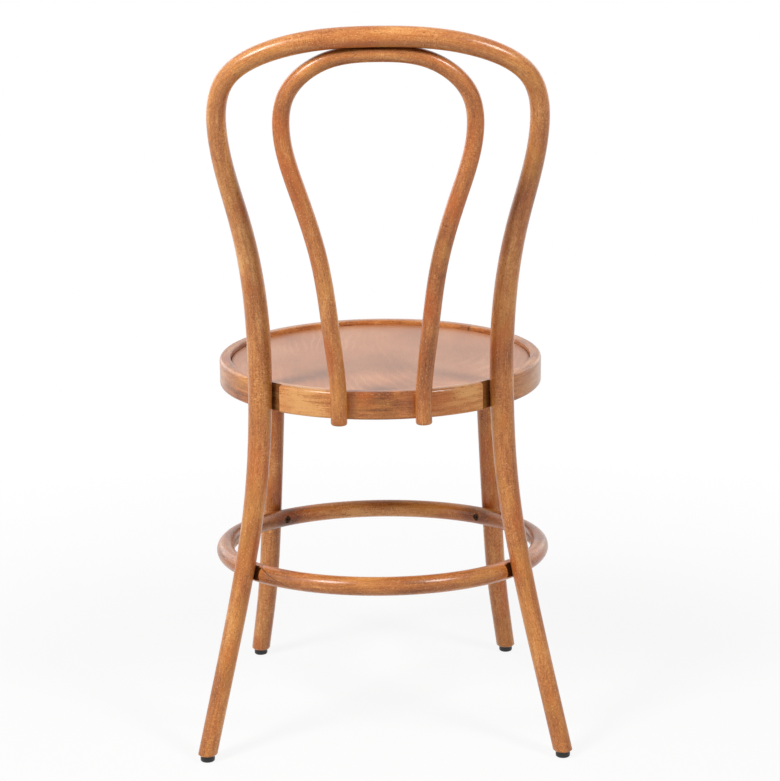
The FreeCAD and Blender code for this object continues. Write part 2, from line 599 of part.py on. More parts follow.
# Front legs: bent rods with a level shoulder and a turned tenon, glued up into the ring.
for side, sign in SIDES:
    top = seat_frame.multVec(polar(front_angle, front_reach, ring_low))
    thigh_y = (top.y + front_cross.y) / 2
    thigh_z = (top.z + front_cross.z) / 2
    stations = with_tail([
        (*front_foot, size("foot_end"), size("front_foot_thick")),
        (front_leg_x + size("front_shin_splay"), seat_y + front_leg_y - size("front_shin_reach"),
         size("front_shin_height"), size("front_shin_thick")),
        (front_cross.x, front_cross.y, front_cross.z, size("front_ring_thick")),
        (front_leg_x + size("front_thigh_splay"), thigh_y, thigh_z, size("front_thigh_thick")),
        (top.x, top.y, top.z, size("front_leg_thick")),
    ], size("trim_allowance"))
    stations = with_tail(stations[::-1], size("trim_allowance"))
    rod = bent_rod("front_rod_" + side, [(sign * x, y, z, thick) for x, y, z, thick in stations], 4)
    x, y = sign * front_foot[0], front_foot[1]
    shoulder = seat_frame * FreeCAD.Placement(polar(sign * front_angle, front_reach, ring_low),
                                              FreeCAD.Rotation())
    corner = FreeCAD.Placement(V(-size("front_leg_thick"), -size("front_leg_thick"), 0), FreeCAD.Rotation())
    top_trim = bound("Part::Box", "front_top_trim_" + side, shoulder * corner,
                     Length="2 * sizes.front_leg_thick", Width="2 * sizes.front_leg_thick",
                     Height="2 * sizes.trim_allowance")
    saddle = bound("Part::Torus", "front_saddle_" + side, ring_frame, Radius1="sizes.leg_ring_radius",
                   Radius2="sizes.leg_ring_thick / 2 + sizes.fit_gap")
    trims = [foot_trim("front_foot_trim_" + side, x, y, "front_foot_thick"), top_trim, saddle,
             nail_bore("front_nail_bore_" + side, x, y)]
    index = 1 if side == "left" else 3
    trims += screw_bore("front_ring_screw_" + side, places["leg_ring"][index],
                        "sizes.ring_screw_length", size("head_sink"))[:1]
    shaft = boolean("Part::Cut", "front_shaft_" + side, rod, trims)
    tenon = bound("Part::Cylinder", "front_tenon_" + side, shoulder, Radius="sizes.tenon_radius",
                  Height="sizes.tenon_length")
    whole = boolean("Part::MultiFuse", "front_whole_" + side, shaft, [tenon])
    index = 0 if side == "left" else 1
    bore = screw_bore("tenon_screw_bore_" + side, places["tenon"][index], "sizes.tenon_screw_length",
                      size("head_sink"))[:1]
    node(boolean("Part::Cut", "front_leg_cut_" + side, whole, bore), "front_leg_" + side)

# Front blocks: beech blocks glued and screwed inside the ring, where each front leg's tenon goes.
for side, sign in SIDES:
    angle = sign * front_angle
    turn = FreeCAD.Placement(V(), FreeCAD.Rotation(UP, -math.degrees(angle)))
    body = new_body("front_block_body_" + side, seat_frame * turn)
    sketch = sketch_on(body, "block_outline_" + side, "XY_Plane")
    half_width = size("block_width") / 2
    inside, radius = block_inner, outer - width
    arc_edge = math.asin(half_width / radius)
    ends = [V(-half_width + size("block_taper"), inside, 0), V(half_width - size("block_taper"), inside, 0),
            V(half_width, radius * math.cos(arc_edge), 0), V(-half_width, radius * math.cos(arc_edge), 0)]
    sketch.addGeometry(Part.LineSegment(ends[0], ends[1]), False)
    sketch.addGeometry(Part.LineSegment(ends[1], ends[2]), False)
    sketch.addGeometry(Part.ArcOfCircle(Part.Circle(V(0, 0, 0), UP, radius),
                                        math.pi / 2 - arc_edge, math.pi / 2 + arc_edge), False)
    sketch.addGeometry(Part.LineSegment(ends[3], ends[0]), False)
    for a, pa, b, pb in ((0, 2, 1, 1), (1, 2, 2, 1), (2, 2, 3, 1), (3, 2, 0, 1), (2, 3, -1, 1)):
        sketch.addConstraint(Sketcher.Constraint("Coincident", a, pa, b, pb))
    for kind, geo, point, value, expression in (
            ("DistanceY", 0, 1, inside, "sizes.seat_radius - sizes.seat_ring_width - sizes.block_depth"),
            ("DistanceY", 0, 2, inside, "sizes.seat_radius - sizes.seat_ring_width - sizes.block_depth"),
            ("DistanceX", 0, 1, -half_width + size("block_taper"),
             "sizes.block_taper - sizes.block_width / 2"),
            ("DistanceX", 0, 2, half_width - size("block_taper"),
             "sizes.block_width / 2 - sizes.block_taper"),
            ("DistanceX", 2, 1, half_width, "sizes.block_width / 2"),
            ("DistanceX", 2, 2, -half_width, "-sizes.block_width / 2")):
        index = sketch.addConstraint(Sketcher.Constraint(kind, -1, 1, geo, point, value))
        sketch.setExpression("Constraints[%d]" % index, expression)
    index = sketch.addConstraint(Sketcher.Constraint("Radius", 2, radius))
    sketch.setExpression("Constraints[%d]" % index, "sizes.seat_radius - sizes.seat_ring_width")
    sketch.setExpression("AttachmentOffset.Base.z", "-sizes.seat_ring_height")
    pad = body.newObject("PartDesign::Pad", "block_pad_" + side)
    pad.Profile = sketch
    pad.setExpression("Length", "sizes.block_height")
    place = seat_frame * FreeCAD.Placement(polar(angle, front_reach, ring_low), FreeCAD.Rotation())
    tools = [bound("Part::Cylinder", "block_mortise_" + side, place,
                   Radius="sizes.tenon_radius + sizes.fit_gap",
                   Height="sizes.tenon_length + sizes.joint_gap")]
    index = 0 if side == "left" else 1
    tools += screw_bore("block_tenon_bore_" + side, places["tenon"][index], "sizes.tenon_screw_length",
                        2 * size("head_sink"))
    for number in (2 * index, 2 * index + 1):
        tools += screw_bore("block_bore_%d" % number, places["block"][number],
                            "sizes.block_screw_length", 2 * size("head_sink"))
    node(boolean("Part::Cut", "front_block_cut_" + side, body, tools), "front_block_" + side)

# Rear leg bolts: threaded studs set in the legs, with a washer and a nut inside the ring.
bolts, washers, nuts = [], [], []
for index, place in enumerate(places["rear_bolt"]):
    back = size("washer_thickness") + size("nut_thickness") + size("bolt_tail")
    start = place * FreeCAD.Placement(V(0, 0, -back), FreeCAD.Rotation())
    bolts.append(bound("Part::Cylinder", "rear_stud_%d" % index, start, Radius="sizes.bolt_radius",
                       Height="sizes.washer_thickness + sizes.nut_thickness + sizes.bolt_tail"
                              " + sizes.seat_ring_width - sizes.spotface_depth"
                              " - sizes.rear_housing_depth + sizes.bolt_in_leg"))
    start = place * FreeCAD.Placement(V(0, 0, -size("washer_thickness")), FreeCAD.Rotation())
    disc = bound("Part::Cylinder", "rear_washer_disc_%d" % index, start, Radius="sizes.washer_radius",
                 Height="sizes.washer_thickness")
    hole = bound("Part::Cylinder", "rear_washer_hole_%d" % index, start,
                 Radius="sizes.bolt_radius + sizes.fit_gap", Height="sizes.washer_thickness")
    washers.append(boolean("Part::Cut", "rear_washer_%d" % index, disc, [hole]))
    start = place * FreeCAD.Placement(V(0, 0, -size("washer_thickness") - size("nut_thickness")),
                                      FreeCAD.Rotation())
    hexagon = bound("Part::Prism", "rear_nut_hexagon_%d" % index, start,
                    Circumradius="sizes.nut_across / sqrt(3)", Height="sizes.nut_thickness")
    hexagon.Polygon = 6
    hole = bound("Part::Cylinder", "rear_nut_hole_%d" % index, start,
                 Radius="sizes.bolt_radius + sizes.fit_gap", Height="sizes.nut_thickness")
    nuts.append(boolean("Part::Cut", "rear_nut_%d" % index, hexagon, [hole]))
group("rear_leg_studs", bolts)
group("rear_leg_washers", washers)
group("rear_leg_nuts", nuts)

# Wood screws, each kind in a node of its own.
for name, key, length in (("leg_ring_screws", "leg_ring", "sizes.ring_screw_length"),
                          ("inner_hoop_screws", "inner_hoop", "sizes.hoop_screw_length"),
                          ("crown_screws", "crown", "sizes.crown_screw_length"),
                          ("tenon_screws", "tenon", "sizes.tenon_screw_length"),
                          ("front_block_screws", "block", "sizes.block_screw_length")):
    group(name, [socket_screw("%s_%d" % (name, k), place, length) for k, place in enumerate(places[key])])

# Glides: a moulded nylon foot under each leg, held by a nail whose head is sunk in it.
nails = []
for end, (x, y) in (("rear", rear_foot), ("front", front_foot)):
    for side, sign in SIDES:
        place = FreeCAD.Placement(V(sign * x, y, 0), FreeCAD.Rotation())
        body = new_body("glide_body_%s_%s" % (end, side), place)
        sketch = sketch_on(body, "glide_section_%s_%s" % (end, side), "XZ_Plane")
        rectangle(sketch, (0.0, "0"), (size("glide_radius"), "sizes.glide_radius"), (0.0, "0"),
                  (size("foot_end"), "sizes.foot_end"))
        turned = revolve(body, "PartDesign::Revolution", sketch, "glide_turn_%s_%s" % (end, side))
        round_edges(body, turned, "glide_rounding_%s_%s" % (end, side), "sizes.glide_round",
                    circle_at(size("glide_radius"), 0))
        recess = bound("Part::Cylinder", "glide_recess_%s_%s" % (end, side), place,
                       Radius="sizes.nail_head_radius + sizes.fit_gap",
                       Height="sizes.nail_sink + sizes.nail_head_thickness")
        bore = nail_bore("glide_bore_%s_%s" % (end, side), sign * x, y)
        node(boolean("Part::Cut", "glide_cut_%s_%s" % (end, side), body, [recess, bore]),
             "glide_%s_%s" % (end, side))
        start = place * FreeCAD.Placement(V(0, 0, size("nail_sink")), FreeCAD.Rotation())
        head = bound("Part::Cylinder", "nail_head_%s_%s" % (end, side), start,
                     Radius="sizes.nail_head_radius", Height="sizes.nail_head_thickness")
        shank = bound("Part::Cylinder", "nail_shank_%s_%s" % (end, side), start,
                      Radius="sizes.nail_radius", Height="sizes.nail_length")
        nails.append(boolean("Part::MultiFuse", "nail_%s_%s" % (end, side), head, [shank]))
group("glide_nails", nails)

doc.recompute()
for item in doc.Objects:
    if "Invalid" in item.State or "Error" in item.State:
        raise RuntimeError("%s failed: %s" % (item.Label, item.State))
os.makedirs("parts", exist_ok=True)
for item in parts:
    if item.Shape.isNull() or not item.Shape.isValid():
        raise RuntimeError("%s has no valid shape" % item.Label)
    item.Shape.exportStep("parts/%s.step" % item.Label)
    print(item.Label, len(item.Shape.Solids), "solids", round(item.Shape.Volume), "mm3")
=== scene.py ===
import math

import bpy
import numpy as np
from mathutils import Matrix, Vector


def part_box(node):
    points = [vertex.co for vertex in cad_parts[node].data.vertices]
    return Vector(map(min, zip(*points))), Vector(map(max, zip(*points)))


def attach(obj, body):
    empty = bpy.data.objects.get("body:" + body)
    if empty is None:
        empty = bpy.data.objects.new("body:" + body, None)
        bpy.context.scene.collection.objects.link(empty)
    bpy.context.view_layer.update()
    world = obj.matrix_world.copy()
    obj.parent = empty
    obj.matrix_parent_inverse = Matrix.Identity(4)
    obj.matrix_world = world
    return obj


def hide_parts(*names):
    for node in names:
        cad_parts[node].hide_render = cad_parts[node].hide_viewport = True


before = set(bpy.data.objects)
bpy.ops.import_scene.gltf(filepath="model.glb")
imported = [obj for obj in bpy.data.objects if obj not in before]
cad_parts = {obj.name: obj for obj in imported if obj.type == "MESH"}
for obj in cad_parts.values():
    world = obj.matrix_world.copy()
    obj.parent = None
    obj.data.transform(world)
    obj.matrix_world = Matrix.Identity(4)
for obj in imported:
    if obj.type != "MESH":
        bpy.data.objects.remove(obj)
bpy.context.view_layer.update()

# The back frame is one beech rod, steamed and bent: both rear legs and the outer hoop.
# It was turned round and tapered while straight, then stained and lacquered. A planed flat on
# each leg bears in the seat ring's housing, and one at the crown bears on the inner hoop.
SEAT_HEIGHT = 0.461
SEAT_RADIUS = 0.203
SEAT_SLOPE = math.radians(1.1)
RING_HEIGHT = 0.034
HOUSING_DEPTH = 0.007
REAR_LEG_X = 0.146
REAR_LEG_THICK = 0.029
REAR_LEG_FLAT = 0.0025
LEG_RING_RADIUS = 0.200
LEG_RING_THICK = 0.0228
LEG_RING_HEIGHT = 0.214
LEG_RING_BEHIND_SEAT = 0.020
LEG_RING_TILT = math.radians(2.4)
LEG_HOUSING_DEPTH = 0.0035
ANKLE_X, ANKLE_THICK = 0.1705, 0.0246
FOOT_END = 0.008
FOOT_CHAMFER = 0.0016
REAR_FOOT = (0.217, 0.213, 0.0232)
CROWN_RISE, CROWN_SETBACK, CROWN_THICK = 0.421, 0.128, 0.024
CROWN_LEAN = math.radians(21)
CROWN_FLAT, CROWN_FLAT_LENGTH = 0.0005, 0.066
INNER_CROWN_THICK = 0.0196

seat_low, seat_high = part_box("seat_ring")
SEAT_Y = (seat_low.y + seat_high.y + RING_HEIGHT * math.sin(SEAT_SLOPE)) / 2


def turned_frame(origin, angle):
    """Axes of a frame whose origin is given and that is turned about the chair's X axis."""
    return np.array(origin), np.array(Matrix.Rotation(angle, 3, "X")).T


def to_world(axes, points):
    """Points of a frame in the chair's own: the origin plus each coordinate times its axis."""
    origin, rows = axes
    return origin + np.asarray(points) @ rows


def to_local(axes, points):
    """The inverse of to_world: each coordinate is the dot product with the frame's axis."""
    origin, rows = axes
    return (np.asarray(points) - origin) @ rows.T


seat_axes = turned_frame((0, SEAT_Y, SEAT_HEIGHT), -SEAT_SLOPE)
ring_axes = turned_frame((0, SEAT_Y + LEG_RING_BEHIND_SEAT, LEG_RING_HEIGHT), LEG_RING_TILT)


def polar(angle, distance, height=0.0):
    """Point round a vertical axis: the distance times the angle's sine goes along X and times
    its cosine along Y, so the angle runs from +Y towards +X."""
    return np.stack(np.broadcast_arrays(distance * np.sin(angle), distance * np.cos(angle), height), -1)


def natural_spline(stations, runs):
    """Natural cubic spline: second derivatives solve a tridiagonal system, and between two
    stations the value is a cubic of the distance to each of them. The runs are lengths along
    the stations, or a function that chooses them from the stations' own."""
    knots = np.concatenate([[0], np.cumsum(np.linalg.norm(np.diff(stations[:, :3], axis=0), axis=1))])
    gaps = np.diff(knots)
    count = len(knots)
    system = np.eye(count)
    slopes = np.diff(stations, axis=0) / gaps[:, None]
    right = np.zeros_like(stations)
    inner = np.arange(1, count - 1)
    system[inner, inner - 1] = gaps[:-1]
    system[inner, inner] = 2 * (gaps[:-1] + gaps[1:])
    system[inner, inner + 1] = gaps[1:]
    right[inner] = 6 * np.diff(slopes, axis=0)
    bends = np.linalg.solve(system, right)
    along = runs(knots) if callable(runs) else runs
    span = np.clip(np.searchsorted(knots, along, side="right") - 1, 0, count - 2)
    gap = gaps[span]
    low, high = ((knots[span + 1] - along) / gap)[:, None], ((along - knots[span]) / gap)[:, None]
    straight = low * stations[span] + high * stations[span + 1]
    bend = (low ** 3 - low) * bends[span] + (high ** 3 - high) * bends[span + 1]
    return along, straight + bend * (gap ** 2)[:, None] / 6


def unit(vectors):
    """Vectors divided by their lengths."""
    return vectors / np.linalg.norm(vectors, axis=-1, keepdims=True)


def smooth_step(values, start, end):
    """0 below start, 1 above end, and 3t^2 - 2t^3 between them."""
    t = np.clip((values - start) / (end - start), 0, 1)
    return t * t * (3 - 2 * t)


SECTION_COUNT = 56
RING_STEP = 0.003
TANGENT_STEP = 0.0005
MITRE_REACH = 0.03


class Rod:
    """A bent round rod as a grid of points: rings of its section along the spline.

    A point is the centre plus half the thickness times (cos a side + sin a front). grain keeps
    where each point lay in the straight stick: the run along it and its place in the section.
    Fine runs, counted from the middle, and fine turns are added where holes need them.
    """

    def __init__(self, stations, start=0.0, end=0.0, fine_runs=(), fine_turns=()):
        stations = np.array(stations)

        def evenly(knots):
            last = knots[-1] - end
            even = np.linspace(start, last, int((last - start) / RING_STEP) + 1)
            return np.union1d(even, knots[-1] / 2 + np.array(fine_runs))

        self.run, curve = natural_spline(stations, evenly)
        ahead = natural_spline(stations, np.minimum(self.run + TANGENT_STEP, self.run[-1]))[1]
        behind = natural_spline(stations, np.maximum(self.run - TANGENT_STEP, self.run[0]))[1]
        self.centre, self.thick = curve[:, :3], curve[:, 3]
        self.tangent = unit(ahead[:, :3] - behind[:, :3])
        self.side = unit(np.cross(self.tangent, (0.0, 1.0, 0.0)))
        self.front = np.cross(self.side, self.tangent)
        self.turn = np.union1d(np.linspace(0, 2 * math.pi, SECTION_COUNT, endpoint=False), fine_turns)
        half = (self.thick / 2)[:, None, None]
        cosine, sine = np.cos(self.turn)[None, :, None], np.sin(self.turn)[None, :, None]
        self.offset = half * (cosine * self.side[:, None] + sine * self.front[:, None])
        self.points = self.centre[:, None] + self.offset
        across, up = half[..., 0] * cosine[..., 0], half[..., 0] * sine[..., 0]
        self.grain = np.stack(np.broadcast_arrays(self.run[:, None], across, up), -1)

    def mitre(self, at_end, normal):
        """Slide the points near one end along the rod until that end lies in a plane: each one
        by its offset along the plane's normal, divided by the rod's direction along it."""
        edge = self.run[-1] if at_end else self.run[0]
        tangent = self.tangent[-1 if at_end else 0]
        weight = 1 - smooth_step(np.abs(self.run - edge), 0, MITRE_REACH)
        slide = self.offset @ np.array(normal) / (tangent @ np.array(normal))
        self.points = self.points - (weight[:, None] * slide)[..., None] * tangent
        self.grain[..., 0] -= weight[:, None] * slide

    def add_ring(self, at_end, ring, run):
        """One more ring of points past an end."""
        grain = self.grain[-1 if at_end else 0].copy()
        grain[:, 0] = run
        pieces = [self.points, ring[None]] if at_end else [ring[None], self.points]
        grains = [self.grain, grain[None]] if at_end else [grain[None], self.grain]
        self.points, self.grain = np.concatenate(pieces), np.concatenate(grains)


def planed(points, base, normal, inside):
    """Points past a plane are pushed back onto it, as far as inside (0 to 1) says."""
    past = np.maximum((points - base) @ np.array(normal), 0)
    return points - (past * inside)[..., None] * np.array(normal)


def in_scene(name, data):
    """A new object in the scene, for a mesh, a lamp or a camera."""
    thing = bpy.data.objects.new(name, data)
    bpy.context.scene.collection.objects.link(thing)
    return thing


def cells(width, u, u_next, v, v_next):
    """The four corners of each cell of a grid whose rows hold width points: row * width + column."""
    corners = u * width + v, u_next * width + v, u_next * width + v_next, u * width + v_next
    return np.stack(np.broadcast_arrays(*corners), -1).reshape(-1, 4)


def skin(name, points, grain, round_u=False, soft_angle=35):
    """Mesh over a grid whose second direction closes on itself. The first one closes too, and
    then runs the other way round, or each end gets a pole in its middle. The stick's
    coordinates go to the faces' corners."""
    rows, columns = points.shape[:2]
    if grain.shape[1] == columns:
        grain = np.concatenate([grain, grain[:, :1]], 1)
    u = np.arange(rows if round_u else rows - 1)[:, None]
    v = np.arange(columns)[None, :]
    quads = cells(columns, u, (u + 1) % rows, v, (v + 1) % columns)
    corners = cells(columns + 1, u, u + 1, v, v + 1)
    if round_u:
        quads, corners = quads[:, ::-1], corners[:, ::-1]
    coords = points.reshape(-1, 3)
    faces, values = quads.tolist(), grain.reshape(-1, 3)[corners.reshape(-1)]
    if not round_u:
        for row, order in ((0, 1), (rows - 1, -1)):
            pole = len(coords)
            coords = np.concatenate([coords, points[row].mean(0, keepdims=True)])
            pole_grain = grain[row, :-1].mean(0)
            rim = np.stack([v[0], (v[0] + 1) % columns], -1)[:, ::order] + row * columns
            faces += np.column_stack([rim, np.full(columns, pole)]).tolist()
            rim_grain = np.stack([grain[row, :-1], grain[row, 1:]], 1)[:, ::order]
            fan = np.concatenate([rim_grain, np.broadcast_to(pole_grain, (columns, 1, 3))], 1)
            values = np.concatenate([values, fan.reshape(-1, 3)])
    mesh = bpy.data.meshes.new(name)
    mesh.from_pydata(coords.tolist(), [], faces)
    mesh.attributes.new("grain", "FLOAT_VECTOR", "CORNER").data.foreach_set("vector", values.ravel())
    mesh.shade_smooth()
    mesh.set_sharp_from_angle(angle=math.radians(soft_angle))
    return in_scene(name, mesh)


def mark(piece, name, level):
    """Keep a value for each point of a piece, worked out from the points' places."""
    places = np.empty(len(piece.data.vertices) * 3)
    piece.data.vertices.foreach_get("co", places)
    values = np.broadcast_to(level(places.reshape(-1, 3)), len(piece.data.vertices))
    piece.data.attributes.new(name, "FLOAT", "POINT").data.foreach_set("value", values)


def hump(values, middle, width):
    """1 at the middle, falling as a bell curve: the exponential of minus (distance / width)^2."""
    return np.exp(-((values - middle) / width) ** 2)


class Signal:
    """A socket of a material's node tree. Python's operators on it add Math nodes."""

    def __init__(self, tree, socket=None):
        self.tree, self.socket = tree, socket

    def node(self, kind, output=0, settings=None, **inputs):
        """A node of any type: its settings are set first, then its sockets' values or links."""
        made = self.tree.nodes.new(kind)
        for key, value in (settings or {}).items():
            if key == "stops":
                ramp = made.color_ramp
                while len(ramp.elements) < len(value):
                    ramp.elements.new(1)
                for stop, (place, colour) in zip(ramp.elements, value):
                    stop.position, stop.color = place, colour
            else:
                setattr(made, key, value)
        self.fill(made, **inputs)
        return Signal(self.tree, made.outputs[output])

    def fill(self, made, **inputs):
        """Link signals to a node's sockets and set others to values. A socket is named by its
        label, with _ for a space, or by i and its number."""
        for key, value in inputs.items():
            numbered = key[0] == "i" and key[1:].isdigit()
            target = made.inputs[int(key[1:]) if numbered else key.replace("_", " ")]
            if isinstance(value, Signal):
                self.tree.links.new(value.socket, target)
            else:
                target.default_value = value

    def math(self, operation, *others, clamp=False):
        sockets = {"i%d" % k: value for k, value in enumerate(others)}
        return self.node("ShaderNodeMath", 0, {"operation": operation, "use_clamp": clamp}, **sockets)

    def __add__(self, other):
        return self.math("ADD", self, other)

    def __sub__(self, other):
        return self.math("SUBTRACT", self, other)

    def __rsub__(self, other):
        return self.math("SUBTRACT", other, self)

    def __mul__(self, other):
        return self.math("MULTIPLY", self, other)

    def __pow__(self, other):
        return self.math("POWER", self, other)

    __radd__, __rmul__ = __add__, __mul__

    def between(self, low, high):
        """0 below low and 1 above high, clamped."""
        return self.math("DIVIDE", self - low, high - low, clamp=True)

    def mix(self, first, second):
        """Colour between two others, as far as this value says."""
        return self.node("ShaderNodeMix", 2, {"data_type": "RGBA"}, i0=self, i6=first, i7=second)

    def stretched(self, scale, shift=(0, 0, 0)):
        """This vector times a scale plus a shift, each axis on its own."""
        return self.node("ShaderNodeVectorMath", 0, {"operation": "MULTIPLY_ADD"},
                         i0=self, i1=scale, i2=shift)

    def noise(self, scale, detail, roughness):
        return self.node("ShaderNodeTexNoise", "Fac", {"noise_dimensions": "3D"}, Vector=self,
                         Scale=scale, Detail=detail, Roughness=roughness)

    def axis(self, name):
        return self.node("ShaderNodeSeparateXYZ", name, Vector=self)


def rgb(red, green, blue):
    """Linear colour of an sRGB one given in 0 to 255."""
    levels = np.array([red, green, blue]) / 255
    linear = np.where(levels <= 0.04045, levels / 12.92, ((levels + 0.055) / 1.055) ** 2.4)
    return (*(float(level) for level in linear), 1.0)


def new_finish(name):
    """A material, its shader, and a signal to start its nodes from."""
    material = bpy.data.materials.new(name)
    material.use_nodes = True
    return material, material.node_tree.nodes["Principled BSDF"], Signal(material.node_tree)


def beech(name, seed, shade=0.0, figure=0.5, scarf=None):
    """Stained beech under satin lacquer, read from where each point lay in the straight stick.
    Clouds of stain, long streaks, growth lines, speckle, mottle and each piece's mark of tone and
    painted light add up to a tone, which a ramp turns from brown to tan. Amber and golden patches
    change its hue, few short dark flecks and pale pores lie over it, painted shade darkens the
    joints, housings and holes, and bending left cross wrinkles.
    A scarf's glue line shows where run + across * a + up * b comes to c, given as (a, b, c)."""
    material, shader, start = new_finish(name)
    stick = start.node("ShaderNodeAttribute", "Vector", {"attribute_name": "grain"})
    # The first mark is painted shade. The second shifts the tone, with painted light and shade on some
    # pieces.
    pooled = start.node("ShaderNodeAttribute", "Fac", {"attribute_name": "pooled"})
    paler = start.node("ShaderNodeAttribute", "Fac", {"attribute_name": "paler"})

    def pattern(stretch, shift, scale, detail, roughness):
        return stick.stretched(stretch, shift).noise(scale, detail, roughness)

    clouds = pattern((1.0, 2.5, 2.5), (seed, seed * 0.7, 0), 14.0, 3.0, 0.6)
    streaks = pattern((0.12, 1.0, 1.0), (seed, 0, seed), 150.0, 4.0, 0.6)
    lines = pattern((0.05, 1.0, 1.0), (0, seed, seed), 520.0, 3.0, 0.6)
    speckle = pattern((0.55, 1.0, 1.0), (seed, seed, 0), 850.0, 3.0, 0.7)
    mottle = pattern((0.7, 1.0, 1.0), (seed, 0, 0), 330.0, 3.0, 0.65)
    flecks = pattern((0.22, 1.0, 1.0), (seed * 2, 0, 0), 700.0, 1.0, 0.5).between(0.66, 0.72)
    pores = pattern((0.45, 1.0, 1.0), (0, 0, seed * 3), 900.0, 1.0, 0.5).between(0.64, 0.72)
    amber = pattern((0.6, 1.2, 1.2), (seed * 1.3, 0, seed), 22.0, 3.0, 0.6).between(0.50, 0.68)
    gold = pattern((0.6, 1.2, 1.2), (0, seed * 1.9, 0), 18.0, 3.0, 0.6).between(0.50, 0.68)
    wrinkles = pattern((2.4, 0.6, 0.6), (0, seed, 0), 330.0, 2.0, 0.6)
    strained = pattern((1.0, 1.0, 1.0), (seed * 0.4, 0, 0), 16.0, 2.0, 0.5).between(0.50, 0.62)
    tone = (clouds * 1.1 + streaks * (1.4 * figure) + lines * figure + speckle + mottle * 0.5
            + (wrinkles - 0.5) * strained + paler + (shade - 0.76 - 1.2 * figure))
    colour = start.node("ShaderNodeValToRGB", 0, {"stops": [
        (0.0, rgb(112, 58, 24)), (0.3, rgb(158, 92, 46)), (0.55, rgb(184, 112, 58)),
        (0.8, rgb(206, 136, 74)), (1.0, rgb(228, 166, 100))]}, Fac=tone)
    colour = (amber * 0.60).mix(colour, rgb(188, 92, 30))
    colour = (gold * 0.50).mix(colour, rgb(212, 146, 68))
    surface_colour = (flecks * 0.5).mix(colour, rgb(92, 46, 20))
    surface_colour = (pores * 0.4).mix(surface_colour, rgb(240, 192, 138))
    # Painted shade: near-black brown where the first mark says, in joints, housings and holes.
    surface_colour = pooled.mix(surface_colour, rgb(44, 20, 9))
    if scarf:
        reading = start.node("ShaderNodeVectorMath", 1, {"operation": "DOT_PRODUCT"},
                             i0=stick, i1=(1.0, *scarf[:2]))
        glue = 1 - start.math("ABSOLUTE", reading - scarf[2]).between(0.0006, 0.0020)
        surface_colour = (glue * 0.7).mix(surface_colour, rgb(66, 34, 16))
    relief = speckle * 0.4 + lines * 0.2 + streaks * 0.4 - flecks * 0.5 + wrinkles * strained
    bump = start.node("ShaderNodeBump", 0, None, Strength=0.25, Distance=0.0005, Height=relief)
    rough = 0.28 + 0.14 * speckle + 0.12 * flecks
    start.fill(shader, Base_Color=surface_colour, Roughness=rough, Normal=bump,
               Coat_Weight=0.65, Coat_Roughness=0.22, Specular_IOR_Level=0.1)
    return material


def finish_piece(piece, material, node):
    """Give a piece its material and slot, let it ride on the chair and stand for its node."""
    piece.data.materials.append(material)
    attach(piece, "root")
    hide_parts(node)


rear_reach = SEAT_RADIUS - HOUSING_DEPTH + REAR_LEG_THICK / 2 - REAR_LEG_FLAT
rear_leg_y = math.sqrt(rear_reach ** 2 - REAR_LEG_X ** 2)
rear_angle = math.asin(REAR_LEG_X / rear_reach)
seat_mid = to_world(seat_axes, polar(rear_angle, rear_reach, -RING_HEIGHT / 2))


def on_leg_ring(side_x, reach, back):
    """Where a leg that stands reach from the leg ring's middle crosses its tilted plane."""
    run = back * math.sqrt(reach ** 2 - side_x ** 2)
    return np.array((side_x, ring_axes[0][1] + run, LEG_RING_HEIGHT + run * math.tan(LEG_RING_TILT)))


rear_cross_reach = LEG_RING_RADIUS + LEG_RING_THICK / 2 - LEG_HOUSING_DEPTH + ANKLE_THICK / 2
rear_cross = on_leg_ring(ANKLE_X, rear_cross_reach, 1)
leg_y = SEAT_Y + rear_leg_y
# Stations from a rear foot up to the crown: x, y, z and thickness at the foot, the ankle, the
# knee, the seat, the waist, the flank, the side, the shoulder, the brow and the crown.
rear_half = [
    (REAR_FOOT[0], SEAT_Y + REAR_FOOT[1], FOOT_END, REAR_FOOT[2]),
    (*rear_cross, ANKLE_THICK),
    (0.153, leg_y + 0.0018, 0.330, 0.0268),
    (*seat_mid, REAR_LEG_THICK),
    (0.148, leg_y + 0.0095, SEAT_HEIGHT + 0.089, 0.0284),
    (0.163, leg_y + 0.0425, SEAT_HEIGHT + 0.199, 0.0252),
    (0.184, leg_y + 0.085, SEAT_HEIGHT + 0.309, 0.0228),
    (0.172, leg_y + 0.1095, SEAT_HEIGHT + 0.373, 0.0228),
    (0.110, leg_y + 0.1235, SEAT_HEIGHT + 0.409, 0.0236),
    (0.0, leg_y + CROWN_SETBACK, SEAT_HEIGHT + CROWN_RISE, CROWN_THICK),
]


def with_tail(stations, length):
    """One more station, run on in a straight line past the first."""
    first, second = np.array(stations[0]), np.array(stations[1])
    step = unit((first - second)[:3]) * length
    return [(*(first[:3] + step), first[3])] + stations


def mirrored(stations):
    return stations + [(-x, y, z, thick) for x, y, z, thick in reversed(stations[:-1])]


TAIL = 0.012
UP = (0.0, 0.0, 1.0)
FOOT_LEAN = math.radians(15)
FOOT_INNER_SHARE = 0.45


def square_foot(rod, at_end):
    """Turn a small chamfer round the levelled end of a leg, down to the glide's top."""
    index = -1 if at_end else 0
    edge = rod.points[index]
    middle = edge.mean(0)
    drop = np.array(UP) * FOOT_CHAMFER
    thick = rod.thick[index]
    rod.add_ring(at_end, middle + (edge - middle) * (1 - 2 * FOOT_CHAMFER / thick) - drop, rod.run[index])
    rod.add_ring(at_end, middle + (edge - middle) * FOOT_INNER_SHARE - drop, rod.run[index])


chamfer_run = TAIL + FOOT_CHAMFER / math.cos(FOOT_LEAN)
back = Rod(mirrored(with_tail(rear_half, TAIL)), start=chamfer_run, end=chamfer_run)
back.mitre(False, UP)
back.mitre(True, UP)
square_foot(back, False)
square_foot(back, True)

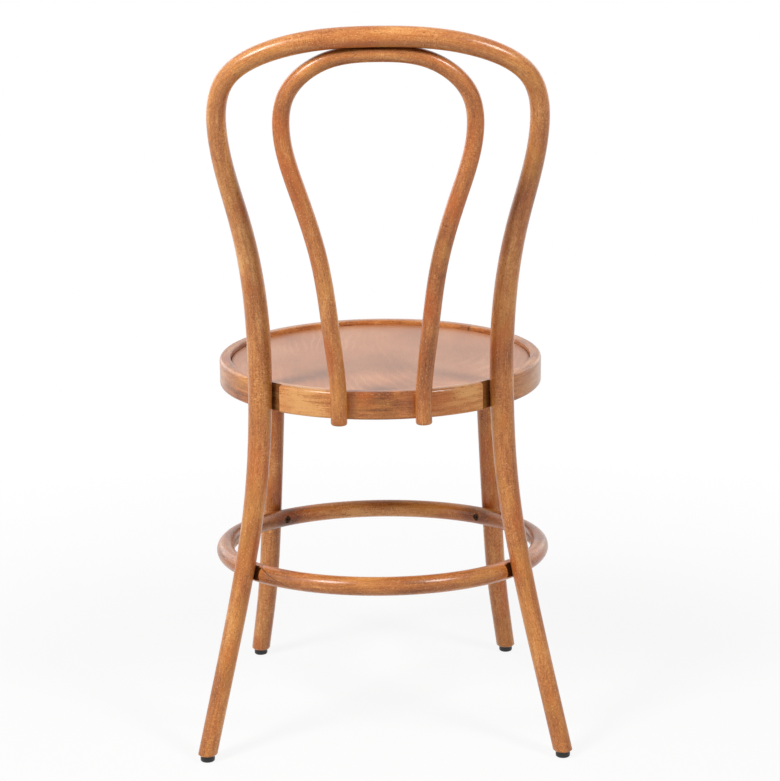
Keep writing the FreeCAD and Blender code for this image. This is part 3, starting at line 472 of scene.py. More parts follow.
crown = np.array((0, leg_y + CROWN_SETBACK, SEAT_HEIGHT + CROWN_RISE))
crown_down = np.array((0, -math.sin(CROWN_LEAN), -math.cos(CROWN_LEAN)))
flat_point = crown + crown_down * (CROWN_THICK / 2 - CROWN_FLAT)
FLAT_RUN_OUT = 0.0015
bearing = SEAT_RADIUS - HOUSING_DEPTH


def on_crown_flat(points):
    """1 along the flat where the two crowns meet, running out to 0 at its ends."""
    end = CROWN_FLAT_LENGTH / 2
    return 1 - smooth_step(np.abs(points[..., 0]), end - FLAT_RUN_OUT, end)


def fit_back(points):
    """Plane the flats of the seat housings and of the crown."""
    for sign in (1, -1):
        out = polar(sign * rear_angle, 1.0)
        local = to_local(seat_axes, points)
        depth = -(local[..., 2] + RING_HEIGHT / 2)
        inside = 1 - smooth_step(np.abs(depth), RING_HEIGHT / 2, RING_HEIGHT / 2 + FLAT_RUN_OUT)
        inside *= local @ out > bearing - REAR_LEG_THICK
        points = to_world(seat_axes, planed(local, out * bearing, -out, inside))
    return planed(points, flat_point, crown_down, on_crown_flat(points))


back.points = fit_back(back.points)
back_frame = skin("bent_back_frame", back.points, back.grain)


def crown_joint_painted_shade(places):
    """Painted shade where the two hoops touch, close to the plane of their flats."""
    gap, aside = np.abs((places - flat_point) @ crown_down), np.abs(places[:, 0])
    return 0.9 * (1 - smooth_step(gap, 0.0004, 0.0022)) * (1 - smooth_step(aside, 0.045, 0.062))


def back_painted_light(places):
    """Painted light and shade: above the seat the stick's left side is paler and its right side
    darker, and below the seat the right leg is darker too."""
    side, height = places[:, 0], places[:, 2]
    paler = np.where(side > 0, 0.18, -0.08)
    above = paler * smooth_step(np.abs(side), 0.08, 0.13) * hump(height, 0.62, 0.16)
    return above - 0.14 * (side < 0) * hump(height, 0.34, 0.09)


# The back frame gets painted shade where the hoops touch, and painted light on its left side and painted
# shade on its right.
mark(back_frame, "pooled", crown_joint_painted_shade)
mark(back_frame, "paler", back_painted_light)
finish_piece(back_frame, beech("beech_back_frame", 1.7, 0.08), "back_frame")

# The inner hoop is a thinner bent rod. Its rounded ends run past the seat ring's rear face,
# scribed to it and screwed from inside, and its crown is screwed up under the outer hoop.
INNER_FOOT_X, INNER_FOOT_THICK, INNER_FOOT_FLAT = 0.0505, 0.0198, 0.0025
INNER_THICK, INNER_SIDE_THICK = 0.0206, 0.020
INNER_END_ROUND = 0.0028
inner_reach = SEAT_RADIUS + INNER_FOOT_THICK / 2 - INNER_FOOT_FLAT
inner_angle = math.asin(INNER_FOOT_X / inner_reach)
inner_crown = flat_point + crown_down * (INNER_CROWN_THICK / 2 - CROWN_FLAT)
rim_joint = to_world(seat_axes, polar(inner_angle, inner_reach, 0))
underside = to_world(seat_axes, polar(inner_angle, inner_reach, -RING_HEIGHT))
INNER_TOP = inner_crown[2]


def inner_station(x, z, thick):
    """A station of the inner hoop: its depth follows a straight lean from rim to crown."""
    share = (z - rim_joint[2]) / (INNER_TOP - rim_joint[2])
    return (x, rim_joint[1] + (inner_crown[1] - rim_joint[1]) * share, z, thick)


inner_half = [
    (underside[0], underside[1], underside[2] - 0.005, INNER_FOOT_THICK),
    (*rim_joint, INNER_FOOT_THICK),
    inner_station(0.0565, SEAT_HEIGHT + 0.059, INNER_THICK),
    inner_station(0.070, SEAT_HEIGHT + 0.159, INNER_THICK),
    inner_station(0.0925, INNER_TOP - 0.162, INNER_THICK),
    inner_station(0.1104, INNER_TOP - 0.082, INNER_SIDE_THICK),
    inner_station(0.105, INNER_TOP - 0.0494, INNER_SIDE_THICK),
    inner_station(0.060, INNER_TOP - 0.0085, INNER_CROWN_THICK),
    (0.0, inner_crown[1], INNER_TOP, INNER_CROWN_THICK),
]
SCREW_HEAD_RADIUS, HEAD_CLEARANCE, HEAD_SINK = 0.0042, 0.0003, 0.004
CROWN_SCREW_X = 0.012
HEAD_HOLE_RADIUS = SCREW_HEAD_RADIUS + HEAD_CLEARANCE
# The hoop's grid is finer round the two holes for the crown's screws.
hole_runs = np.linspace(-0.0055, 0.0055, 17)
hole_turns = 2 * math.pi - CROWN_LEAN + np.linspace(-0.55, 0.365, 19)
hoop = Rod(mirrored(inner_half), start=INNER_END_ROUND, end=INNER_END_ROUND,
           fine_runs=np.concatenate([hole_runs - CROWN_SCREW_X, hole_runs + CROWN_SCREW_X]),
           fine_turns=hole_turns)
ROUND_STEPS = 5
for at_end in (False, True):
    index = -1 if at_end else 0
    heading = hoop.tangent[index] * (1 if at_end else -1)
    edge, middle, half = hoop.points[index].copy(), hoop.centre[index], hoop.thick[index] / 2
    for step in range(1, ROUND_STEPS + 1):
        lean = math.pi / 2 * step / ROUND_STEPS
        shrink = 1 - INNER_END_ROUND / half * (1 - math.cos(lean))
        ring = middle + (edge - middle) * shrink + heading * INNER_END_ROUND * math.sin(lean)
        hoop.add_ring(at_end, ring, hoop.run[index])


def fit_inner(points):
    """Plane the crown's flat, and scribe both feet round the seat ring's outside."""
    points = planed(points, flat_point, -crown_down, on_crown_flat(points))
    local = to_local(seat_axes, points)
    reach = np.linalg.norm(local[..., :2], axis=-1)
    short = np.maximum(SEAT_RADIUS - reach, 0) * (1 - smooth_step(local[..., 2], 0, FLAT_RUN_OUT))
    local[..., :2] *= (1 + short / reach)[..., None]
    return to_world(seat_axes, local)


def inside_hole(away, radius):
    """1 inside a round hole and 0 outside it, over a rim of half a millimetre."""
    return 1 - smooth_step(away, radius - 0.0003, radius + 0.0002)


hoop.points = fit_inner(hoop.points)
underside_point = inner_crown + crown_down * (INNER_CROWN_THICK / 2 - HEAD_SINK)
for sign in (1, -1):
    spoke = hoop.points - (underside_point + np.array((sign * CROWN_SCREW_X, 0, 0)))
    along = spoke @ crown_down
    away = np.linalg.norm(spoke - along[..., None] * crown_down, axis=-1)
    drop = np.maximum(along, 0) * inside_hole(away, HEAD_HOLE_RADIUS)
    hoop.points = hoop.points - drop[..., None] * crown_down
inner_hoop = skin("bent_inner_hoop", hoop.points, hoop.grain)


def inner_painted_light(places):
    """Painted light and shade: the inner hoop's left side is a little paler too, and its right side darker.
    """
    return 0.16 * np.sign(places[:, 0]) * hump(places[:, 2], 0.60, 0.10)


# The inner hoop gets painted shade where it meets the outer hoop, and painted light and shade on its two
# sides.
mark(inner_hoop, "pooled", crown_joint_painted_shade)
mark(inner_hoop, "paler", inner_painted_light)
finish_piece(inner_hoop, beech("beech_inner_hoop", 4.1, 0.02), "inner_hoop")

# The seat ring is one strip of beech bent round and scarfed. It is rebated inside for the
# panel, rounded over at the rim, and housed flat on the outside for the two rear legs.
RING_WIDTH, RIM_WIDTH = 0.026, 0.014
RIM_ROUND, RIM_INNER_ROUND, BOTTOM_ROUND, INNER_EASE = 0.0045, 0.0015, 0.003, 0.0008
PANEL_RECESS, PANEL_THICK, PANEL_GAP, PANEL_ROUND = 0.006, 0.008, 0.0004, 0.001
HOUSING_WIDTH, HOUSING_EASE = 0.052, 0.0009
ARC_POINTS = 7


def rounded_outline(corners, gap=0.004):
    """Closed outline through corners (across, up, radius): each corner is an arc between the
    points where it leaves the two straight sides, and long sides are divided evenly."""
    flat = np.array([corner[:2] for corner in corners])
    arcs = []
    for k, (across, up, radius) in enumerate(corners):
        here = np.array((across, up))
        before, after = unit(flat[k - 1] - here), unit(flat[(k + 1) % len(flat)] - here)
        half = math.acos(float(np.clip(before @ after, -1, 1))) / 2
        reach = radius / math.tan(half)
        centre = here + unit(before + after) * radius / math.sin(half)
        first, last = here + before * reach - centre, here + after * reach - centre
        sweep = math.pi - 2 * half
        share = np.linspace(0, 1, ARC_POINTS)[:, None]
        bow = np.sin((1 - share) * sweep) * first + np.sin(share * sweep) * last
        arcs.append(centre + bow / math.sin(sweep))
    outline = []
    for arc, following in zip(arcs, arcs[1:] + arcs[:1]):
        count = max(int(np.linalg.norm(following[0] - arc[-1]) / gap), 1)
        between = arc[-1] + (following[0] - arc[-1]) * (np.arange(1, count) / count)[:, None]
        outline += [arc, between]
    return np.concatenate(outline)


INNER_RADIUS = SEAT_RADIUS - RING_WIDTH
LEDGE = -PANEL_RECESS - PANEL_THICK
outline = rounded_outline([
    (SEAT_RADIUS, -RING_HEIGHT, BOTTOM_ROUND),
    (SEAT_RADIUS, 0, RIM_ROUND),
    (SEAT_RADIUS - RIM_WIDTH, 0, RIM_INNER_ROUND),
    (SEAT_RADIUS - RIM_WIDTH, LEDGE, 0.0002),
    (INNER_RADIUS, LEDGE, INNER_EASE),
    (INNER_RADIUS, -RING_HEIGHT, INNER_EASE),
])


def gathered(count, places, width, extra):
    """Angles once round, evenly spaced, with extra ones packed close round each place."""
    even = np.linspace(0, 2 * math.pi, count, endpoint=False)
    close = [place % (2 * math.pi) + np.linspace(-width, width, extra) for place in places]
    angles = np.unique(np.round(np.concatenate([even] + close) % (2 * math.pi), 6))
    return angles[np.concatenate([[True], np.diff(angles) > CLOSEST_ANGLE])]


def spokes(angle):
    """Unit vectors outwards at an angle, and across that."""
    return polar(angle, 1.0), polar(angle + math.pi / 2, 1.0)


def housed(points, base, out, across, width, ease):
    """Cut a flat housing: inside its width, points past its floor are pushed back to it, and a
    small ease rounds the corner where its end walls meet the ring's face."""
    inside = 1 - smooth_step(np.abs((points - base) @ across), (width - ease) / 2, (width + ease) / 2)
    return planed(points, base, out, inside)


def sunk_hole(local, angle, level, radius, floor, face):
    """Sink a round hole into a ring's inner face: points inside it go out to its floor."""
    out, across = spokes(angle)
    away = np.hypot(local @ across, local[..., 2] - level)
    inner_face = (local @ out > 0) & (local @ out < face)
    drop = np.maximum(floor - local @ out, 0) * inside_hole(away, radius) * inner_face
    return local + drop[..., None] * out


def ring_grain(angles, radius, across, up):
    """The straight stick's coordinates round a ring, closed both ways: run, across and up."""
    run = np.append(angles, angles[0] + 2 * math.pi)[:, None] * radius
    return np.stack(np.broadcast_arrays(run, np.append(across, across[0]), np.append(up, up[0])), -1)


# Angles count from the scarf, where the strip's two ends meet. They lie closer together at the
# ends of the housings, at the studs' spotfaces and at the inner hoop's screws.
SCARF_AT = math.radians(205)
CLOSEST_ANGLE = 0.00008
RING_SIDES = 600
NEAR_END, NEAR_STUD, NEAR_SCREW = HOUSING_EASE / SEAT_RADIUS * 1.6, 0.058, 0.032
half_housing = math.asin(HOUSING_WIDTH / 2 / SEAT_RADIUS)
housing_ends = [sign * rear_angle + end * half_housing - SCARF_AT for sign in (1, -1) for end in (1, -1)]
stud_places = [sign * rear_angle - SCARF_AT for sign in (1, -1)]
screw_places = [sign * inner_angle - SCARF_AT for sign in (1, -1)]
ring_angles = SCARF_AT + np.union1d(
    np.union1d(gathered(RING_SIDES, housing_ends, NEAR_END, 15),
               gathered(RING_SIDES, stud_places, NEAR_STUD, 33)),
    gathered(RING_SIDES, screw_places, NEAR_SCREW, 23))

# The inner face gets closely spaced levels, so that round holes can be sunk into it.
SPOTFACE_RADIUS, SPOTFACE_DEPTH, SCREW_DROP = 0.009, 0.0008, 0.024
INNER_FACE_LEVELS, FACE_SLACK = 30, 0.0005
face = np.flatnonzero(np.abs(outline[:, 0] - INNER_RADIUS) < 1e-7)
levels = np.linspace(outline[face[0], 1], outline[face[-1], 1], INNER_FACE_LEVELS)[1:-1]
inner_face = np.column_stack([np.full(len(levels), INNER_RADIUS), levels])
section = np.concatenate([outline[:face[0] + 1], inner_face, outline[face[-1]:]])
strip = polar(ring_angles[:, None], section[None, :, 0], section[None, :, 1])
for sign in (1, -1):
    out, across = spokes(sign * rear_angle)
    strip = housed(strip, out * bearing, out, across, HOUSING_WIDTH, HOUSING_EASE)
    strip = sunk_hole(strip, sign * rear_angle, -SCREW_DROP, SPOTFACE_RADIUS,
                      INNER_RADIUS + SPOTFACE_DEPTH, INNER_RADIUS + FACE_SLACK)
    strip = sunk_hole(strip, sign * inner_angle, -SCREW_DROP, HEAD_HOLE_RADIUS,
                      INNER_RADIUS + HEAD_SINK, INNER_RADIUS + FACE_SLACK)
strip_grain = ring_grain(ring_angles, SEAT_RADIUS, section[:, 0] - SEAT_RADIUS, section[:, 1])
seat_ring = skin("bent_seat_ring", to_world(seat_axes, strip), strip_grain, round_u=True, soft_angle=40)


def seat_housing_painted_shade(places):
    """Painted shade on the floors of the two housings."""
    local = to_local(seat_axes, places)
    dark = np.zeros(len(local))
    for sign in (1, -1):
        out, across = spokes(sign * rear_angle)
        on_floor = 1 - smooth_step(np.abs(local @ out - bearing), 0.0002, 0.0012)
        within = np.abs(local @ across) < HOUSING_WIDTH / 2 + HOUSING_EASE
        dark = np.maximum(dark, 0.65 * on_floor * within)
    return dark


def seat_ring_tone_and_painted_shade(places):
    """The strip is pale on both rear quarters and darker between the inner hoop's feet, and towards
    the chair's two sides it is darker still, as painted shade that offsets the white surround's sheen
    there."""
    local = to_local(seat_axes, places)
    angle = np.degrees(np.arctan2(local[:, 0], local[:, 1]))
    behind = 0.60 * hump(angle, 30, 13) - 0.42 * hump(angle, 1, 11) + 0.38 * hump(angle, -28, 12)
    return behind - 0.28 * hump(np.abs(angle), 82, 22)


# The seat ring gets painted shade on its housings' floors, and its tone with painted shade towards the
# chair's sides.
mark(seat_ring, "pooled", seat_housing_painted_shade)
mark(seat_ring, "paler", seat_ring_tone_and_painted_shade)
seat_scarf = (-3.0, 0.0, 0.09 + SCARF_AT * SEAT_RADIUS)
finish_piece(seat_ring, beech("beech_seat_ring", 7.3, 0.0, 1.0, seat_scarf), "seat_ring")

# The seat panel is a plywood disc with a flat-cut veneer face, eased at its edge and glued on
# the ring's ledge, so that its lacquered top lies a little below the rim.
PANEL_SIDES = 240
PANEL_MIDDLE = 0.0004
panel_radius = SEAT_RADIUS - RIM_WIDTH - PANEL_GAP
panel_outline = rounded_outline([
    (PANEL_MIDDLE, LEDGE, 0.0001),
    (panel_radius, LEDGE, 0.0004),
    (panel_radius, -PANEL_RECESS, PANEL_ROUND),
    (PANEL_MIDDLE, -PANEL_RECESS, 0.0001),
], gap=0.006)
# The outline is opened at the axis: it starts in the underside's middle and ends in the top's.
first = int(np.argmin(panel_outline[:, 0] + (panel_outline[:, 1] > LEDGE + 0.001) * 1.0))
profile = np.roll(panel_outline, -first, axis=0)
panel_angles = np.linspace(0, 2 * math.pi, PANEL_SIDES, endpoint=False)
disc = polar(panel_angles[None], profile[:, 0][:, None], profile[:, 1][:, None])
panel = skin("plywood_panel", to_world(seat_axes, disc), disc[..., [1, 0, 2]])


def veneer(name):
    """Flat-cut veneer: growth lines are the levels of a long ellipse bent by slow noise, so
    they open out as pale arches on one side, over slow drifts of stain and fine fibres."""
    material, shader, start = new_finish(name)
    sheet = start.node("ShaderNodeAttribute", "Vector", {"attribute_name": "grain"})
    along, across = sheet.axis("X"), sheet.axis("Y")
    wander = sheet.stretched((0.35, 1.0, 1.0)).noise(14.0, 3.0, 0.5)
    pith = ((across + 0.085 + (wander - 0.5) * 0.05) ** 2 + ((along + 0.14) * 0.30) ** 2) ** 0.5
    shown = sheet.stretched((0.6, 1.0, 1.0), (0.3, 0.1, 0)).noise(9.0, 2.0, 0.5).between(0.48, 0.62)
    growth = (start.math("SINE", pith * 700.0) * 0.5 + 0.5) ** 3.0 * shown
    fibres = sheet.stretched((0.05, 1.0, 1.0)).noise(900.0, 3.0, 0.6)
    drift = sheet.stretched((0.5, 1.0, 1.0), (3.0, 1.0, 0)).noise(12.0, 3.0, 0.55)
    flecks = sheet.stretched((0.2, 1.0, 1.0), (0, 2.0, 0)).noise(700.0, 1.0, 0.5).between(0.62, 0.72)
    tone = drift * 1.3 + growth * 0.20 + fibres * 0.5 - 0.45
    # The ramp's colours are the veneer's own tone, greyed a little towards pink as a painted sheen of the
    # white surround.
    colour = start.node("ShaderNodeValToRGB", 0, {"stops": [
        (0.0, rgb(150, 92, 56)), (0.5, rgb(188, 124, 84)), (1.0, rgb(212, 156, 116))]}, Fac=tone)
    surface_colour = (flecks * 0.35).mix(colour, rgb(112, 66, 42))
    bump = start.node("ShaderNodeBump", 0, None, Strength=0.12, Distance=0.0003,
                      Height=fibres * 0.5 + growth * 0.3 - flecks * 0.6)
    rough = 0.38 + 0.08 * fibres
    start.fill(shader, Base_Color=surface_colour, Roughness=rough, Normal=bump,
               Coat_Weight=0.5, Coat_Roughness=0.32, Specular_IOR_Level=0.35)
    return material


finish_piece(panel, veneer("veneer_panel"), "seat_panel")

# The leg ring is a round rod bent into a hoop and scarfed. It lies inside the four legs, cut
# flat where the rear legs bear, and a sunk screw goes through it into each leg.
LEG_HOUSING_WIDTH, LEG_HOUSING_EASE, FIT_GAP = 0.033, 0.0012, 0.0002
FRONT_RING_X, FRONT_RING_THICK, FRONT_SADDLE = 0.1488, 0.027, 0.0015
REAR_CROSS_RUN = 0.2285
leg_ring_half = LEG_RING_THICK / 2
front_cross_reach = LEG_RING_RADIUS + leg_ring_half - FRONT_SADDLE + FRONT_RING_THICK / 2
front_cross = on_leg_ring(FRONT_RING_X, front_cross_reach, -1)
crosses = [cross * (sign, 1, 1) for cross in (rear_cross, front_cross) for sign in (1, -1)]
local_crosses = to_local(ring_axes, crosses)
hole_angles = np.arctan2(local_crosses[:, 0], local_crosses[:, 1])

# Angles count from the scarf again, closer together at the housings' ends and at the holes.
LEG_SCARF_AT = math.radians(28)
LEG_RING_SIDES, TURN_COUNT = 560, 48
half_leg_housing = LEG_HOUSING_WIDTH / 2 / LEG_RING_RADIUS
ends = [hole_angles[k] + end * half_leg_housing - LEG_SCARF_AT for k in (0, 1) for end in (1, -1)]
near_hole = np.linspace(-0.027, 0.027, 37)
near_holes = [(angle - LEG_SCARF_AT) % (2 * math.pi) + near_hole for angle in hole_angles]
leg_ring_angles = np.concatenate([gathered(LEG_RING_SIDES, ends, 0.012, 13)] + near_holes)
leg_ring_angles = np.unique(np.round(leg_ring_angles, 5)) + LEG_SCARF_AT
even_turn = np.linspace(0, 2 * math.pi, TURN_COUNT, endpoint=False)
inward = np.linspace(-0.45, 0.45, 21) + math.pi
section_turn = np.unique(np.round(np.concatenate([even_turn, inward]), 4))
tube_across, tube_up = leg_ring_half * np.cos(section_turn), leg_ring_half * np.sin(section_turn)
tube = polar(leg_ring_angles[:, None], LEG_RING_RADIUS + tube_across[None], tube_up[None])
nearby = natural_spline(np.array(with_tail(rear_half, TAIL)), REAR_CROSS_RUN + np.array([-0.001, 0.001]))[1]
leg_heading = unit(nearby[1, :3] - nearby[0, :3])
for sign, leg_middle in zip((1, -1), crosses):
    tilt = leg_heading * (sign, 1, 1)
    out = leg_middle - ring_axes[0]
    out = unit(out - tilt * (out @ tilt))
    aside = np.cross(out, tilt)
    base = leg_middle - out * (ANKLE_THICK / 2 + FIT_GAP)
    cut = housed(to_world(ring_axes, tube), base, out, aside, LEG_HOUSING_WIDTH, LEG_HOUSING_EASE)
    tube = to_local(ring_axes, cut)
for angle in hole_angles:
    tube = sunk_hole(tube, angle, 0.0, HEAD_HOLE_RADIUS, LEG_RING_RADIUS - leg_ring_half + HEAD_SINK,
                     LEG_RING_RADIUS)
tube_grain = ring_grain(leg_ring_angles, LEG_RING_RADIUS, tube_across, tube_up)
leg_ring = skin("bent_leg_ring", to_world(ring_axes, tube), tube_grain, round_u=True, soft_angle=50)


def leg_ring_painted_shade(places):
    """Painted shade on the floors of the rear legs' housings and in the four screw holes."""
    local = to_local(ring_axes, places)
    depth = leg_ring_half - np.hypot(np.hypot(local[:, 0], local[:, 1]) - LEG_RING_RADIUS, local[:, 2])
    dark = np.zeros(len(local))
    for k, angle in enumerate(hole_angles):
        out, across = spokes(angle)
        away = np.hypot(local @ across, local[:, 2])
        in_hole = (away < HEAD_HOLE_RADIUS + HEAD_CLEARANCE) & (depth > 0.0001) & (local @ out > 0)
        near = np.abs(local @ across) < LEG_HOUSING_WIDTH / 2 + LEG_HOUSING_EASE
        cut = (k < 2) & near & (depth > 0.0002) & (local @ out > LEG_RING_RADIUS)
        dark = np.maximum(dark, np.where(in_hole, 1.0, np.where(cut, 0.9, 0.0)))
    return dark


def leg_ring_tone_and_painted_shade(places):
    """The far half is darker towards the two front legs and paler in the middle, and the two
    sides are a little darker, as painted shade that offsets the white surround's sheen there."""
    local = to_local(ring_axes, places)
    angle = np.arctan2(local[:, 0], local[:, 1])
    ends = hump(angle, hole_angles[2], 0.16) + hump(angle, hole_angles[3], 0.16)
    sides = hump(np.abs(angle), math.pi / 2, 0.5)
    return 0.3 * hump(np.abs(angle), math.pi, 0.45) - 0.6 * ends - 0.35 * sides


# The leg ring gets painted shade in its housings and screw holes, and its tone with painted shade at its
# sides.
mark(leg_ring, "pooled", leg_ring_painted_shade)
mark(leg_ring, "paler", leg_ring_tone_and_painted_shade)
leg_scarf = (0.0, -2.8, 0.035 + LEG_SCARF_AT * LEG_RING_RADIUS)
finish_piece(leg_ring, beech("beech_leg_ring", 11.9, 0.0, 0.6, leg_scarf), "leg_ring")

# The front legs are bent rods too, each with a flat shoulder under the seat ring, a turned
# tenon above it, and a shallow saddle where the leg ring lies against it.
FRONT_LEG_X, FRONT_LEG_INSET, FRONT_LEG_THICK = 0.139, 0.018, 0.029
FRONT_FOOT = (0.1687, 0.179, 0.0244)
TENON_RADIUS, TENON_LENGTH, TENON_EASE = 0.010, 0.018, 0.001
front_reach = SEAT_RADIUS - FRONT_LEG_INSET
front_angle = math.pi - math.asin(FRONT_LEG_X / front_reach)
front_top = to_world(seat_axes, polar(front_angle, front_reach, -RING_HEIGHT))
seat_up = seat_axes[1][2]
for side, sign, seed in (("left", 1, 15.2), ("right", -1, 18.6)):
    stations = with_tail([
        (FRONT_FOOT[0], SEAT_Y - FRONT_FOOT[1], FOOT_END, FRONT_FOOT[2]),
        (0.1565, SEAT_Y - 0.1615, 0.100, 0.0256),
        (*front_cross, FRONT_RING_THICK),
        (0.1435, (front_top[1] + front_cross[1]) / 2, (front_top[2] + front_cross[2]) / 2, 0.028),
        (*front_top, FRONT_LEG_THICK),
    ], TAIL)
    stations = [(sign * x, y, z, thick) for x, y, z, thick in stations]
    leg = Rod(stations, start=chamfer_run)
    leg.mitre(False, UP)
    leg.mitre(True, seat_up)
    square_foot(leg, False)
    middle = leg.centre[-1]
    flat = leg.points[-1] - middle
    tenon = unit(flat - (flat @ seat_up)[:, None] * seat_up) * TENON_RADIUS
    for rise, ease in ((0.0002, 0.0), (TENON_LENGTH - TENON_EASE, 0.0), (TENON_LENGTH, TENON_EASE)):
        ring = middle + tenon * (1 - ease / TENON_RADIUS) + seat_up * rise
        leg.add_ring(True, ring, leg.run[-1] + rise)
    local = to_local(ring_axes, leg.points)
    flat_reach = np.linalg.norm(local[..., :2], axis=-1)
    spoke = local - local * (1, 1, 0) / flat_reach[..., None] * LEG_RING_RADIUS
    gap = np.linalg.norm(spoke, axis=-1)
    push = np.maximum(leg_ring_half + FIT_GAP / 4 - gap, 0)
    local = local + spoke / gap[..., None] * push[..., None]
    leg.points = to_world(ring_axes, local)
    front_leg = skin("bent_front_leg_" + side, leg.points, leg.grain)
    # The front legs' tone is raised a little, as painted light on their rear faces, which the seat shades.
    stain_and_painted_light = beech("beech_front_leg_" + side, seed, 0.15)
    finish_piece(front_leg, stain_and_painted_light, "front_leg_" + side)

# The glides are four small feet of moulded black nylon, rounded below, one under each leg.
# A nail through the middle of each goes up into the leg's end grain.
GLIDE_RADIUS, GLIDE_ROUND, GLIDE_SIDES = 0.0088, 0.0024, 48
NAIL_HOLE_RADIUS, HEAD_HOLE_DEPTH, HEAD_HOLE_WALL = 0.0014, 0.003, 0.0031


def moulded_nylon(name):
    """Black nylon with a fine moulded grain, a little paler and rougher where it wears."""
    material, shader, start = new_finish(name)
    place = start.node("ShaderNodeTexCoord", "Object")
    grit = place.noise(2500.0, 2.0, 0.6)
    scuff = place.noise(260.0, 3.0, 0.6).between(0.45, 0.7)
    low = 1 - place.axis("Z").between(0.0, 0.003)
    worn = scuff * low
    colour = worn.mix(rgb(26, 24, 23), rgb(74, 70, 66))
    bump = start.node("ShaderNodeBump", 0, None, Strength=0.2, Distance=0.0001, Height=grit)
    start.fill(shader, Base_Color=colour, Roughness=0.42 + 0.2 * worn + 0.08 * grit, Normal=bump)
    return material


nylon = moulded_nylon("nylon_glides")
glide_profile = rounded_outline([
    (HEAD_HOLE_WALL, 0, 0.0003),
    (GLIDE_RADIUS, 0, GLIDE_ROUND),
    (GLIDE_RADIUS, FOOT_END, 0.0003),
    (NAIL_HOLE_RADIUS, FOOT_END, 0.0002),
    (NAIL_HOLE_RADIUS, HEAD_HOLE_DEPTH, 0.0002),
    (HEAD_HOLE_WALL, HEAD_HOLE_DEPTH, 0.0001),
], gap=0.0015)
glide_angles = np.linspace(0, 2 * math.pi, GLIDE_SIDES, endpoint=False)
foot = polar(glide_angles[:, None], glide_profile[None, :, 0], glide_profile[None, :, 1])
no_grain = np.zeros((len(glide_angles) + 1, len(glide_profile), 3))
for end, x, y in (("rear", REAR_FOOT[0], REAR_FOOT[1]), ("front", FRONT_FOOT[0], -FRONT_FOOT[1])):
    for side, sign in (("left", 1), ("right", -1)):
        node = "glide_%s_%s" % (end, side)
        glide = skin("nylon_" + node, foot + (sign * x, SEAT_Y + y, 0), no_grain, round_u=True)
        finish_piece(glide, nylon, node)


# The front blocks are sawn beech, glued and screwed inside the seat ring and left unstained.
# Their CAD solids are right as they are and get a sawn finish.
def sawn_beech(name):
    """Bare beech: pale, with growth lines across the block and flecks."""
    material, shader, start = new_finish(name)
    place = start.node("ShaderNodeTexCoord", "Object")
    lines = place.stretched((1.0, 0.08, 1.0)).noise(300.0, 3.0, 0.6)
    flecks = place.stretched((1.0, 0.2, 1.0)).noise(900.0, 1.0, 0.5).between(0.6, 0.7)
    colour = lines.between(0.3, 0.7).mix(rgb(168, 116, 72), rgb(206, 160, 112))
    surface_colour = (flecks * 0.5).mix(colour, rgb(130, 84, 50))
    bump = start.node("ShaderNodeBump", 0, None, Strength=0.2, Distance=0.0003, Height=lines - flecks)
    start.fill(shader, Base_Color=surface_colour, Roughness=0.6 + 0.15 * lines, Normal=bump)
    return material


bare = sawn_beech("beech_sawn_blocks")


def dress(node, material):
    """A CAD piece whose shape is right keeps it and gets a material."""
    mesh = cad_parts[node].data
    mesh.materials.clear()
    mesh.materials.append(material)


for side in ("left", "right"):
    dress("front_block_" + side, bare)


# Screws, studs, washers, nuts and nails are zinc plated steel, slightly brushed and dulled.
# The four screws of the leg ring are darkened as painted shade, where they sit deep in their sunk holes.
def zinc_plate(name, dark, pale):
    """Zinc plating, bare or darkened as painted shade: mottled between two tones, with fine scratches."""
    material, shader, start = new_finish(name)
    place = start.node("ShaderNodeTexCoord", "Object")
    mottle = place.noise(700.0, 3.0, 0.6)
    scratch = place.stretched((1.0, 1.0, 0.1)).noise(4000.0, 2.0, 0.5)
    colour = mottle.between(0.3, 0.7).mix(dark, pale)
    bump = start.node("ShaderNodeBump", 0, None, Strength=0.1, Distance=0.0001, Height=scratch)
    start.fill(shader, Base_Color=colour, Roughness=0.32 + 0.2 * scratch, Metallic=1.0, Normal=bump)
    return material


steel = zinc_plate("zinc_fasteners", rgb(120, 118, 112), rgb(176, 174, 168))
shade_darkened_zinc = zinc_plate("shade_darkened_screws", rgb(38, 26, 18), rgb(84, 66, 50))
for node in ("rear_leg_studs", "rear_leg_washers", "rear_leg_nuts", "inner_hoop_screws",
             "crown_screws", "tenon_screws", "front_block_screws", "glide_nails"):
    dress(node, steel)
dress("leg_ring_screws", shade_darkened_zinc)

# The studio is a pale matt floor, which keeps the chair's shadow, under an even white surround.
# The camera and reflections see both near white, but the lamps give nearly all the light.
FLOOR_HALF = 12.0
GLOW_UNDER_CHAIR = 0.88
AMBIENT = 0.03


def seen_directly(start):
    """1 for rays from the camera, a reflection or clear matter, and 0 for light on a surface."""
    rays = [start.node("ShaderNodeLightPath", name)
            for name in ("Is Camera Ray", "Is Glossy Ray", "Is Transmission Ray")]
    return (rays[0] + rays[1] + rays[2]).between(0.0, 1.0)


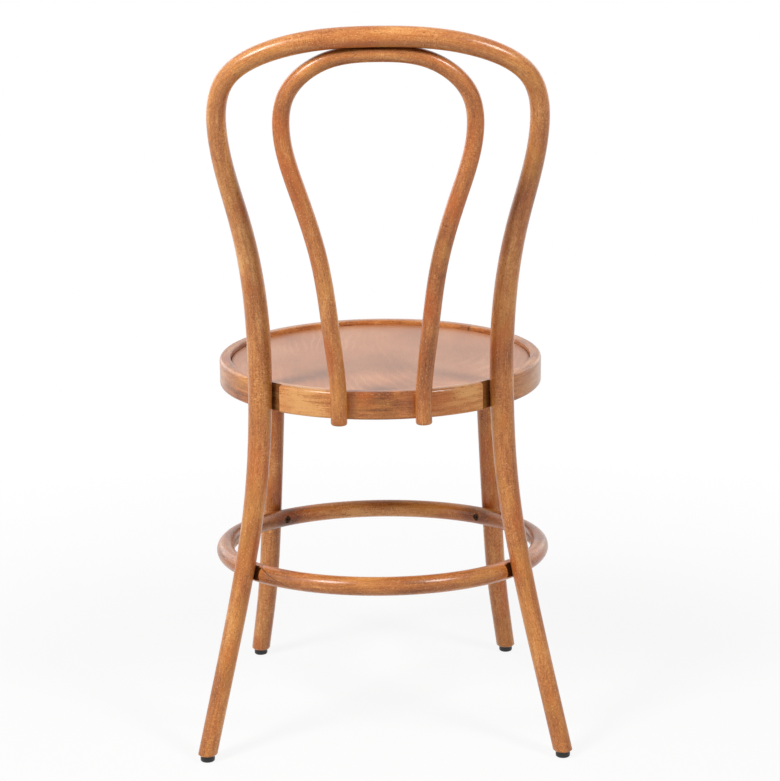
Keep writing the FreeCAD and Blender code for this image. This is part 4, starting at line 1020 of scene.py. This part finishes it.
floor_mesh = bpy.data.meshes.new("studio_floor")
corners = [(x * FLOOR_HALF, y * FLOOR_HALF, 0) for x, y in ((-1, -1), (1, -1), (1, 1), (-1, 1))]
floor_mesh.from_pydata(corners, [], [(0, 1, 2, 3)])
floor = in_scene("studio_floor", floor_mesh)
material, shader, start = new_finish("studio_floor")
material.node_tree.nodes.remove(shader)
paint = start.node("ShaderNodeBsdfDiffuse", 0, None, Color=(0.80, 0.80, 0.80, 1))
glow = start.node("ShaderNodeEmission", 0, None, Color=(1, 1, 1, 1), Strength=1.0)
place = start.node("ShaderNodeTexCoord", "Object")
away = place.node("ShaderNodeVectorMath", 1, {"operation": "LENGTH"}, i0=place).between(0.5, 1.3)
glowing = seen_directly(start) * (GLOW_UNDER_CHAIR + (1 - GLOW_UNDER_CHAIR) * away)
mixed = start.node("ShaderNodeMixShader", 0, None, i0=glowing, i1=paint, i2=glow)
start.fill(material.node_tree.nodes["Material Output"], Surface=mixed)
floor_mesh.materials.append(material)

world = bpy.data.worlds.new("studio")
bpy.context.scene.world = world
world.use_nodes = True
sky = Signal(world.node_tree)
level = AMBIENT + (1 - AMBIENT) * seen_directly(sky)
sky.fill(world.node_tree.nodes["Background"], Color=(1, 1, 1, 1), Strength=level)

# Two soft lamps hang behind the chair, one stands at its left, and two large dim ones in front.
AIM = Vector((0, 0, 0.45))
for name, place, width, height, power in (
        ("left_raised_lamp", (1.5, 1.45, 2.35), 0.7, 0.9, 59.0),
        ("right_raised_lamp", (-1.5, 1.45, 2.35), 0.55, 0.75, 38.0),
        ("left_side_lamp", (2.0, 0.9, 1.2), 1.2, 1.4, 6.0),
        ("front_left_lamp", (1.9, -2.1, 1.5), 2.2, 2.2, 21.0),
        ("front_right_lamp", (-1.9, -2.1, 1.5), 2.2, 2.2, 15.0)):
    lamp = bpy.data.lights.new(name, "AREA")
    lamp.shape, lamp.size, lamp.size_y, lamp.energy = "RECTANGLE", width, height, power
    holder = in_scene(name, lamp)
    holder.location = place
    holder.rotation_euler = (AIM - Vector(place)).to_track_quat("-Z", "Y").to_euler()

# The camera stands three metres behind the chair, higher than its back and nearly on its
# middle line, with the long lens and slight roll that fit the rings' ellipses in the photo.
CAMERA_AWAY, CAMERA_ASIDE, CAMERA_HEIGHT = 3.0, -0.0118, 1.1138
CAMERA_TURN, CAMERA_PITCH, CAMERA_ROLL = 0.0066, 0.2298, -0.0107
FOCAL_PIXELS, FRAME_PIXELS = 2426.8, 780
turned = Matrix.Rotation(-CAMERA_TURN, 3, "Z")
CAMERA_PLACE = turned @ Vector((CAMERA_ASIDE, CAMERA_AWAY, CAMERA_HEIGHT)) + Vector((0, SEAT_Y, 0))
CAMERA_AIM = turned @ Vector((0, -math.cos(CAMERA_PITCH), -math.sin(CAMERA_PITCH)))
camera = bpy.data.cameras.new("camera")
camera.sensor_fit, camera.sensor_width = "HORIZONTAL", 36.0
camera.lens = camera.sensor_width * FOCAL_PIXELS / FRAME_PIXELS
level_right = CAMERA_AIM.cross(Vector(UP)).normalized()
level_up = level_right.cross(CAMERA_AIM)
rolled_right = level_right * math.cos(CAMERA_ROLL) + level_up * math.sin(CAMERA_ROLL)
rolled_up = level_up * math.cos(CAMERA_ROLL) - level_right * math.sin(CAMERA_ROLL)
facing = Matrix((rolled_right, rolled_up, -CAMERA_AIM)).transposed()
tripod = in_scene("camera", camera)
tripod.matrix_world = Matrix.Translation(CAMERA_PLACE) @ facing.to_4x4()
bpy.context.scene.camera = tripod
bpy.context.scene.view_settings.view_transform = "Standard"
